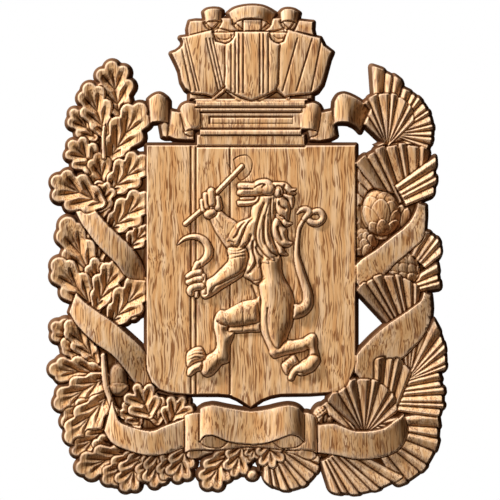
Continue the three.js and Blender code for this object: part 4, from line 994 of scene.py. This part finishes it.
def lion():
    """The spade's outline, then the lion back to front, with the rod and the sickle in its paws."""
    groove(SPADE + SPADE[:1], depth=1.2, width=0.45)
    groove(SPADE_SIDE, depth=1.2, width=0.45)
    limb(TAIL, fullness=1.1, painted_shade=TAIL_SHADE)
    limb(TAIL_LOOP, fullness=1.1, painted_shade=TAIL_SHADE)
    limb(TAIL_TIP, fullness=1.0, ground=THIN_LEVEL, painted_shade=TAIL_SHADE)
    pillow(STANDING_SHANK, rise=7, edge=8, lean=0.05)
    pillow(REAR_TOES, rise=6, edge=5)
    for line in TOE_LINES:
        groove(line, depth=1.4, width=0.5)
    limb(REAR_FOOT, fullness=1.1)
    pillow(FAR_THIGH, rise=4, edge=5)
    pillow(CHEST, rise=5, edge=5)
    pillow(TRUNK, rise=8.8, edge=14, lean=0.14)
    limb(REAR_KNEE, fullness=1.1, over=False)
    pillow(RAISED_SHANK, rise=7.4, edge=10, lean=0.12)
    pillow(RAISED_THIGH, rise=8, edge=9, crease=0)
    for line in KNEE_LINES:
        groove(line, depth=1.0, width=0.6)
    pillow(UPPER_TOE, rise=7.5, edge=7)
    pillow(LOWER_TOE, rise=7, edge=6)
    pillow(UPPER_ARM, rise=7, edge=9)
    pillow(LOWER_ARM, rise=8.5, edge=9)
    for line in BODY_LINES:
        furrow(line, depth=1.8)
    limb(UPPER_ROD, fullness=1.3)
    limb(LOWER_ROD, fullness=1.3)
    pillow(SICKLE, rise=4.6, edge=4, steps=4)
    limb(TANG, fullness=1.0, ground=THIN_LEVEL)
    for rows in FINGERS:
        limb(rows, fullness=1.15, ground=FINGER_LEVEL)
    for tuft in TUFTS:
        pillow(tuft, rise=7.4, edge=5.5, steps=4, lean=0.14)
    pillow(NECK, rise=8.2, edge=7, crease=0.8, steps=4, lean=0.04, above=0.5)
    for line in FURROWS:
        furrow(line, depth=3.0)
    for line in FINE_LINES:
        groove(line, depth=1.1, width=0.6)
    head()


def head():
    limb(TONGUE, fullness=0.9, ground=TONGUE_LEVEL)
    pillow(JAW, rise=7, edge=3, steps=4)
    pillow(EAR, rise=8.8, edge=4)
    groove(EAR_HOLLOW, depth=2.2, width=0.8)
    pillow(HEAD, rise=9, edge=6)
    for rows in FACE:
        limb(rows, fullness=0.75, ground=FACE_LEVEL, over=False)
    for line in FACE_LINES:
        groove(line, depth=2.2, width=0.75)


def pedestal():
    for left, right, bottom, top, level in MOULDINGS:
        corners = [(left, bottom), (right, bottom), (right, top), (left, top)]
        plate(corners, level, edge=1, drop=1, painted_shade=PEDESTAL_SHADE)
    plate(CORNICE, CORNICE_LEVEL, painted_shade=PEDESTAL_SHADE)
    left, right, bottom, top = PEDESTAL_PANEL
    shaded = [(left, bottom), (left, top), (right, top)]
    groove(shaded + [(right, bottom), (left, bottom)], depth=0.9, width=0.5, curved=False)
    groove(shaded, depth=2.2, width=0.7, curved=False)
    for left, right, line in SLAB_SHADOWS:
        groove([(left, line), (right, line)], depth=3.4, width=0.8, curved=False)


def bow():
    for stations in BOW:
        ribbon(stations)


def crown():
    for outline, level in TOWERS:
        plate(outline, level, edge=1.5, drop=1.0)
    for rows in CURLS:
        limb(rows, fullness=1.0, ground=CURL_LEVEL)
    for stations in SMALL_SCROLLS + [BIG_SCROLL]:
        ribbon(stations)
    for line in SWAGS:
        groove(line, depth=1.3, width=0.5)
    for points in CHEVRONS:
        for a, b in zip(points[:-1], points[1:]):
            limb([(*a, CHEVRON_RADIUS), (*b, CHEVRON_RADIUS)], fullness=0.5, ground=CHEVRON_LEVEL)
    for outline, level, painted_shade in CROWN_SHIELDS:
        plate(outline, level, edge=1.6, dome=1.5, painted_shade=painted_shade)
    top, foot = CENTRE_FLUTE_ENDS
    flutes = [[(x, top), (x, foot)] for x in CENTRE_FLUTES]
    top, foot = SIDE_FLUTE_ENDS
    high, low = SIDE_FLUTES_AT
    for x_high, x_low in SIDE_FLUTES:
        lean = (x_high - x_low) / (high - low)
        flutes.append([(x_high + lean * (top - high), top), (x_low - lean * (low - foot), foot)])
    for line in flutes:
        groove(line, depth=1.7, width=0.6, curved=False)


def blurred(grid, sigma):
    """The grid blurred by a Gaussian of sigma millimetres, worked out as far as three sigma."""
    reach = int(math.ceil(3 * sigma / STEP))
    kernel = np.exp(-0.5 * (np.arange(-reach, reach + 1) * STEP / sigma) ** 2)
    kernel /= kernel.sum()
    for axis in (0, 1):
        padded = np.pad(grid, [(reach, reach) if a == axis else (0, 0) for a in (0, 1)], "edge")
        size = grid.shape[axis]
        grid = sum(weight * np.take(padded, np.arange(k, k + size), axis)
                   for k, weight in enumerate(kernel))
    return grid


def carved_surface():
    """The height of the front: the forms inside their outlines, and the sloping rim round them."""
    rim = 1 - np.clip(outside, 0, RIM) / RIM
    slope = RIM_FOOT + (RIM_TOP - RIM_FOOT) * rim ** RIM_CURVE
    return blurred(np.where(outside < 0, np.maximum(height, LOWEST), slope), SURFACE_BLUR)


def map_mesh():
    """Points and faces of the map inside the rim's foot, cut exactly on it."""
    value = outside - RIM
    inside = value < 0
    points = []

    def number(mask, px, pz, ph):
        """Adds the masked points, and gives their numbers."""
        ids = np.full(mask.shape, -1)
        ids[mask] = np.arange(mask.sum()) + sum(len(p) for p in points)
        points.append(np.column_stack([px[mask], pz[mask], ph[mask]]))
        return ids

    grid_x, grid_z = np.meshgrid(xs, zs)
    corner = number(inside, grid_x, grid_z, surface)

    def crossings(axis):
        """The points where the rim's foot crosses the lines of the map along one axis."""
        a = tuple(slice(0, -1) if k == axis else slice(None) for k in (0, 1))
        b = tuple(slice(1, None) if k == axis else slice(None) for k in (0, 1))
        mask = inside[a] != inside[b]
        t = np.clip(value[a] / np.where(mask, value[a] - value[b], 1), *CROSSING_LIMITS)
        px = grid_x[a] + (grid_x[b] - grid_x[a]) * t
        pz = grid_z[a] + (grid_z[b] - grid_z[a]) * t
        return number(mask, px, pz, np.full(px.shape, RIM_FOOT))

    flat, upright = crossings(1), crossings(0)
    # Corners and edge points of a cell, counterclockwise from its lower left
    ring = [
        corner[:-1, :-1], flat[:-1, :], corner[:-1, 1:], upright[:, 1:], corner[1:, 1:], flat[1:, :],
        corner[1:, :-1], upright[:, :-1],
    ]
    ring = np.stack([place.ravel() for place in ring], 1)
    ring_places = range(ring.shape[1])
    present = (ring >= 0).astype(int) @ (1 << np.array(ring_places))
    faces = []
    for case in np.unique(present):
        members = [k for k in ring_places if case >> k & 1]
        if len(members) >= 3:
            faces += ring[present == case][:, members].tolist()
    return np.vstack(points), faces


def carving_mesh():
    """The carved surface as one closed mesh: the map in front, a short wall, and a flat back."""
    points, faces = map_mesh()
    places = np.column_stack([points[:, 0], -points[:, 2], points[:, 1]]) / MM_PER_METRE
    mesh = bpy.data.meshes.new("coat_of_arms")
    mesh.from_pydata(places.tolist(), [], faces)
    piece = bpy.data.objects.new("carved_coat_of_arms", mesh)
    bpy.context.collection.objects.link(piece)
    fewer = piece.modifiers.new("fewer", "DECIMATE")
    fewer.ratio = TRIANGLES / sum(len(face) - 2 for face in faces)
    depsgraph = bpy.context.evaluated_depsgraph_get()
    light = bpy.data.meshes.new_from_object(piece.evaluated_get(depsgraph))
    piece.modifiers.remove(fewer)
    piece.data = light
    close_back(light)
    return piece


def close_back(mesh):
    """Takes the open border straight back to y = 0 and closes it there."""
    bm = bmesh.new()
    bm.from_mesh(mesh)
    border = [e for e in bm.edges if e.is_boundary]
    made = bmesh.ops.extrude_edge_only(bm, edges=border)["geom"]
    for vertex in made:
        if isinstance(vertex, bmesh.types.BMVert):
            vertex.co.y = 0
    foot = [e for e in made if isinstance(e, bmesh.types.BMEdge) and e.is_boundary]
    bmesh.ops.triangle_fill(bm, edges=foot, use_beauty=False)
    bmesh.ops.recalc_face_normals(bm, faces=bm.faces)
    bm.to_mesh(mesh)
    bm.free()


# Keeps a point that is read inside the map's last cell.
INSIDE_LAST = 1.001


def sample(grid, x, z):
    """The grid's value at points, between its cells."""
    u = np.clip((x - xs[0]) / STEP, 0, len(xs) - INSIDE_LAST)
    v = np.clip((z - zs[0]) / STEP, 0, len(zs) - INSIDE_LAST)
    i, j = u.astype(int), v.astype(int)
    s, t = u - i, v - j
    return ((grid[j, i] * (1 - s) + grid[j, i + 1] * s) * (1 - t)
            + (grid[j + 1, i] * (1 - s) + grid[j + 1, i + 1] * s) * t)


def values(items, name, width, kind=float):
    """Reads one property of all the items as rows."""
    found = np.zeros(len(items) * width, kind)
    items.foreach_get(name, found)
    return found.reshape(-1, width)


# Painted light and the edge stain, in millimetres. Hollows below the shield's face, given painted shade, are
# found over a wide blur, fine lines (painted shade) and ridges (painted highlight) over a narrow one, and
# the edge stain, partly painted shade, starts a little inside every outline. The back has none.
HOLLOW_BLUR = 4.0
HOLLOW_START = 2.0
HOLLOW_FULL = 5.0
BELOW_FACE = 0.5
BELOW_FADE = 2.0
LINE_BLUR = 1.2
LINE_FULL = 0.65
PART_SHADE_BLUR = 0.4
EDGE_STAIN_AND_SHADE = 1.2
BACK_FACING = 0.5


def slopes_and_painted_light(mesh):
    """Gives each corner of each face the slope and the painted light that the map has a little inside that
    face.
    Painted shade lies in the recesses, along the creases and on some parts, a dark stain that is partly
    painted shade lies on the rim, and a painted highlight lightens the ridges."""
    places = values(mesh.vertices, "co", 3)[values(mesh.loops, "vertex_index", 1, int)[:, 0]]
    sides = values(mesh.polygons, "loop_total", 1, int)[:, 0]
    flat = np.repeat(values(mesh.polygons, "normal", 3), sides, axis=0)
    middle = np.repeat(values(mesh.polygons, "center", 3), sides, axis=0)
    inner = (places * (1 - INWARD) + middle * INWARD) * MM_PER_METRE
    front = flat[:, 1] < -FACING

    def at_corners(grid):
        return sample(grid, inner[:, 0], inner[:, 2])

    def on_front(grid):
        return np.where(front, at_corners(grid), 0)

    relief = blurred(np.where(outside < RIM + 1, surface, RIM_FOOT), SLOPE_BLUR)
    rise_z, rise_x = np.gradient(relief, STEP)
    slope = np.column_stack([-at_corners(rise_x), -np.ones(len(inner)), -at_corners(rise_z)])
    slope /= np.linalg.norm(slope, axis=1, keepdims=True)
    mesh.normals_split_custom_set(np.where(front[:, None], slope, flat).tolist())

    # Painted shade in the hollows below the shield's face, on the parts given it, and along the fine creases
    solid = np.where(outside < RIM, surface, 0)
    below = np.clip((SHIELD_LEVEL - BELOW_FACE - solid) / BELOW_FADE, 0, 1)
    hollow = np.clip((blurred(solid, HOLLOW_BLUR) - solid - HOLLOW_START) / HOLLOW_FULL, 0, 1) * below
    painted_deep_shade = on_front(1 - (1 - hollow) * (1 - blurred(painted_part_shade, PART_SHADE_BLUR)))
    bend = (blurred(solid, LINE_BLUR) - solid) / LINE_FULL
    fine = on_front(np.clip(bend, 0, 1))
    # Painted highlight along the ridges
    ridge = on_front(np.clip(-bend, 0, 1))
    # A dark stain on the rim and the walls, which is partly painted shade
    near_edge = at_corners(np.clip((outside + EDGE_STAIN_AND_SHADE) / EDGE_STAIN_AND_SHADE, 0, 1))
    edge = np.where(front, near_edge, flat[:, 1] < BACK_FACING)
    # Painted shade, painted highlight and the edge stain, which is partly painted shade, kept for the
    # material
    layer = mesh.color_attributes.new("painted_light_and_stain", "FLOAT_COLOR", "CORNER")
    colours = np.column_stack([painted_deep_shade, fine, edge, ridge]).astype(np.float32)
    layer.data.foreach_set("color", colours.ravel())


def fill(made, inputs):
    """Sets a node's inputs to values, or links them to the outputs of other nodes."""
    for name, value in inputs.items():
        if isinstance(value, (int, float, tuple)):
            made.inputs[name].default_value = value
        else:
            made.id_data.links.new(value, made.inputs[name])


def node(tree, kind, inputs, **settings):
    made = tree.nodes.new(kind)
    for name, value in settings.items():
        setattr(made, name, value)
    fill(made, inputs)
    return made


def maths(tree, operation, a, b, clamp=False):
    return node(tree, "ShaderNodeMath", {0: a, 1: b}, operation=operation, use_clamp=clamp).outputs[0]


# The sockets of a Mix node that hold colours
MIX_A = 6
MIX_B = 7
MIX_RESULT = 2


def mixed(tree, factor, a, b):
    made = node(tree, "ShaderNodeMix", {"Factor": factor, MIX_A: a, MIX_B: b}, data_type="RGBA")
    return made.outputs[MIX_RESULT]


def noise(tree, place, scale, stretch, detail):
    """Noise drawn out along the grain, which runs upright."""
    mapping = node(tree, "ShaderNodeMapping", {"Vector": place, "Scale": (scale, scale, scale / stretch)})
    made = node(tree, "ShaderNodeTexNoise", {"Vector": mapping.outputs[0], "Scale": 1.0, "Detail": detail})
    return made.outputs["Fac"]


def past(tree, value, start, gain):
    """How far a value lies past a start, times a gain, from 0 to 1."""
    return maths(tree, "MULTIPLY", maths(tree, "SUBTRACT", value, start), gain, clamp=True)


def linear(code):
    """A colour written as six hexadecimal digits, in linear light by the sRGB curve, opaque."""
    parts = [int(code[k:k + 2], 16) / 255 for k in (0, 2, 4)]
    return (*(p / 12.92 if p < 0.04045 else ((p + 0.055) / 1.055) ** 2.4 for p in parts), 1)


def ramp(tree, factor, stops):
    """Colours that follow one another as the factor grows."""
    made = node(tree, "ShaderNodeValToRGB", {0: factor})
    elements = made.color_ramp.elements
    while len(elements) < len(stops):
        elements.new(0.5)
    for element, (position, code) in zip(elements, stops):
        element.position = position
        element.color = linear(code)
    return made.outputs[0]


# Oak. A noise is its scale, how far it is drawn out along the grain, and its detail. What is past a
# start shows, times a gain. A tint is how strongly its colour is laid on, and the colour.
BANDS = (190, 14, 3)
WIDE_BANDS = (14, 4, 2)
PORES = (860, 20, 1)
PORE_PATCHES = (120, 3, 2)
PORES_PAST = (0.505, 14.0)
PATCHES_PAST = (0.27, 4.5)
SWAY_SCALE = 22
SWAY = (0.011, 0.011, 0)
BAND_COLOURS = ((0.34, "CF9963"), (0.5, "DDB07C"), (0.66, "E6C197"))
WIDE_TINT = (0.12, "C28C55")
PORE_TINT = (0.8, "70390F")
# Painted highlight on the ridges
PAINTED_HIGHLIGHT_TINT = (0.4, "F2DAC0")
# Painted shade in the creases, in the hollows and on some parts
PAINTED_SHADE_TINT = (0.95, "4C280C")
# A dark stain on the rim and the walls, partly painted shade
EDGE_STAIN_AND_SHADE_TINT = (0.92, "543521")
SPECULAR = 0.06
ROUGHNESS = 0.4
PORE_ROUGHNESS = 0.25
BUMP_STRENGTH = 0.15
BUMP_DEPTH = 0.0004


def swayed_place(tree):
    """Each point's place, moved a little sideways so that the grain isn't dead straight."""
    place = node(tree, "ShaderNodeTexCoord", {}).outputs["Object"]
    sway = node(tree, "ShaderNodeTexNoise", {"Vector": place, "Scale": SWAY_SCALE, "Detail": 1.0})
    shift = {0: sway.outputs["Color"], 1: SWAY, 2: place}
    return node(tree, "ShaderNodeVectorMath", shift, operation="MULTIPLY_ADD").outputs[0]


def new_material(name):
    """An empty material and its shader."""
    material = bpy.data.materials.new(name)
    material.use_nodes = True
    return material, material.node_tree.nodes["Principled BSDF"]


def oak():
    """Oiled oak: upright pore streaks and bands in a warm tan, with painted shade in the recesses and
    creases, painted highlights on the ridges and a dark edge stain that is partly painted shade.
    """
    material, shader = new_material("oiled_oak")
    tree = material.node_tree
    place = swayed_place(tree)
    bands = noise(tree, place, *BANDS)
    wide = noise(tree, place, *WIDE_BANDS)
    pores = past(tree, noise(tree, place, *PORES), *PORES_PAST)
    patches = past(tree, noise(tree, place, *PORE_PATCHES), *PATCHES_PAST)
    streak = maths(tree, "MULTIPLY", pores, patches, clamp=True)
    # Painted shade, painted highlight and the edge stain, partly painted shade, read from the mesh
    painted_light_and_stain = node(tree, "ShaderNodeAttribute", {}, attribute_name="painted_light_and_stain")
    painted_deep_shade, fine, edge = node(tree, "ShaderNodeSeparateColor", {0: painted_light_and_stain.outputs["Color"]}).outputs
    ridge = painted_light_and_stain.outputs["Alpha"]
    wood = ramp(tree, bands, BAND_COLOURS)
    tints = (
        (wide, WIDE_TINT), (streak, PORE_TINT), (ridge, PAINTED_HIGHLIGHT_TINT), (fine, PAINTED_SHADE_TINT),
        (painted_deep_shade, PAINTED_SHADE_TINT), (edge, EDGE_STAIN_AND_SHADE_TINT),
    )
    for mask, (strength, code) in tints:
        wood = mixed(tree, maths(tree, "MULTIPLY", mask, strength), wood, linear(code))
    grain = maths(tree, "SUBTRACT", bands, streak)
    bump = node(tree, "ShaderNodeBump", {"Strength": BUMP_STRENGTH, "Distance": BUMP_DEPTH, "Height": grain})
    fill(shader, {
        "Base Color": wood,
        "Specular IOR Level": SPECULAR,
        "Roughness": maths(tree, "ADD", maths(tree, "MULTIPLY", streak, PORE_ROUGHNESS), ROUGHNESS),
        "Normal": bump.outputs[0],
    })
    return material


# Floor, light and camera, in metres and watts
FLOOR_DROP = 1.6
FLOOR_SIZE = 1.5
FLOOR_COLOUR = (0.85, 0.84, 0.82, 1)
FLOOR_ROUGHNESS = 0.7
KEY_PLACE = (-3.4, -2.0, 3.6)
KEY_SIZE = 0.8
KEY_POWER = 330
SOFT_KEY_POWER = 410
FILL_PLACE = (1.2, -2.6, 0.4)
FILL_SIZE = 1.6
FILL_POWER = 1.5
WORLD_COLOUR = "FFC890"
WHITE = "FFFFFF"
WORLD_STRENGTH = 0.05
CAMERA_DISTANCE = 4.0
SENSOR_WIDTH = 36
FRAME_HEIGHT = 0.5


def pale_floor():
    material, shader = new_material("pale_floor")
    fill(shader, {"Base Color": FLOOR_COLOUR, "Roughness": FLOOR_ROUGHNESS})
    return material


def floor():
    bm = bmesh.new()
    bmesh.ops.create_grid(bm, x_segments=1, y_segments=1, size=FLOOR_SIZE / 2)
    mesh = bpy.data.meshes.new("floor")
    bm.to_mesh(mesh)
    bm.free()
    made = bpy.data.objects.new("floor", mesh)
    made.location = (0, 0, solid_box[0][2] - FLOOR_DROP)
    bpy.context.collection.objects.link(made)
    mesh.materials.append(pale_floor())


def area_light(name, place, size, power, shadow=True):
    data = bpy.data.lights.new(name, "AREA")
    data.use_shadow = shadow
    data.size = size
    data.energy = power
    lamp = bpy.data.objects.new(name, data)
    lamp.location = place
    lamp.rotation_euler = (-Vector(place)).to_track_quat("-Z", "Y").to_euler()
    bpy.context.collection.objects.link(lamp)


def world():
    """White where the camera sees it, and softer and warmer as light."""
    made = bpy.data.worlds.new("studio")
    bpy.context.scene.world = made
    made.use_nodes = True
    tree = made.node_tree
    seen = node(tree, "ShaderNodeLightPath", {}).outputs["Is Camera Ray"]
    fill(tree.nodes["Background"], {
        "Color": mixed(tree, seen, linear(WORLD_COLOUR), linear(WHITE)),
        "Strength": maths(tree, "ADD", maths(tree, "MULTIPLY", seen, 1 - WORLD_STRENGTH), WORLD_STRENGTH),
    })


def camera():
    data = bpy.data.cameras.new("camera")
    data.sensor_width = SENSOR_WIDTH
    data.lens = CAMERA_DISTANCE * data.sensor_width / FRAME_HEIGHT
    made = bpy.data.objects.new("camera", data)
    made.location = (0, -CAMERA_DISTANCE, 0)
    made.rotation_euler = (math.radians(90), 0, 0)
    bpy.context.collection.objects.link(made)
    bpy.context.scene.camera = made


for carve in (garlands, shield, lion, pedestal, bow, crown):
    carve()
surface = carved_surface()

carving = carving_mesh()
slopes_and_painted_light(carving.data)
carving.data.materials.append(oak())
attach(carving, "root")
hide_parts("coat_of_arms_relief")

floor()
world()
area_light("key", KEY_PLACE, KEY_SIZE, KEY_POWER)
area_light("soft_key", KEY_PLACE, KEY_SIZE, SOFT_KEY_POWER, shadow=False)
area_light("fill", FILL_PLACE, FILL_SIZE, FILL_POWER)
camera()
bpy.context.scene.view_settings.view_transform = "Standard"

bpy.context.view_layer.update()
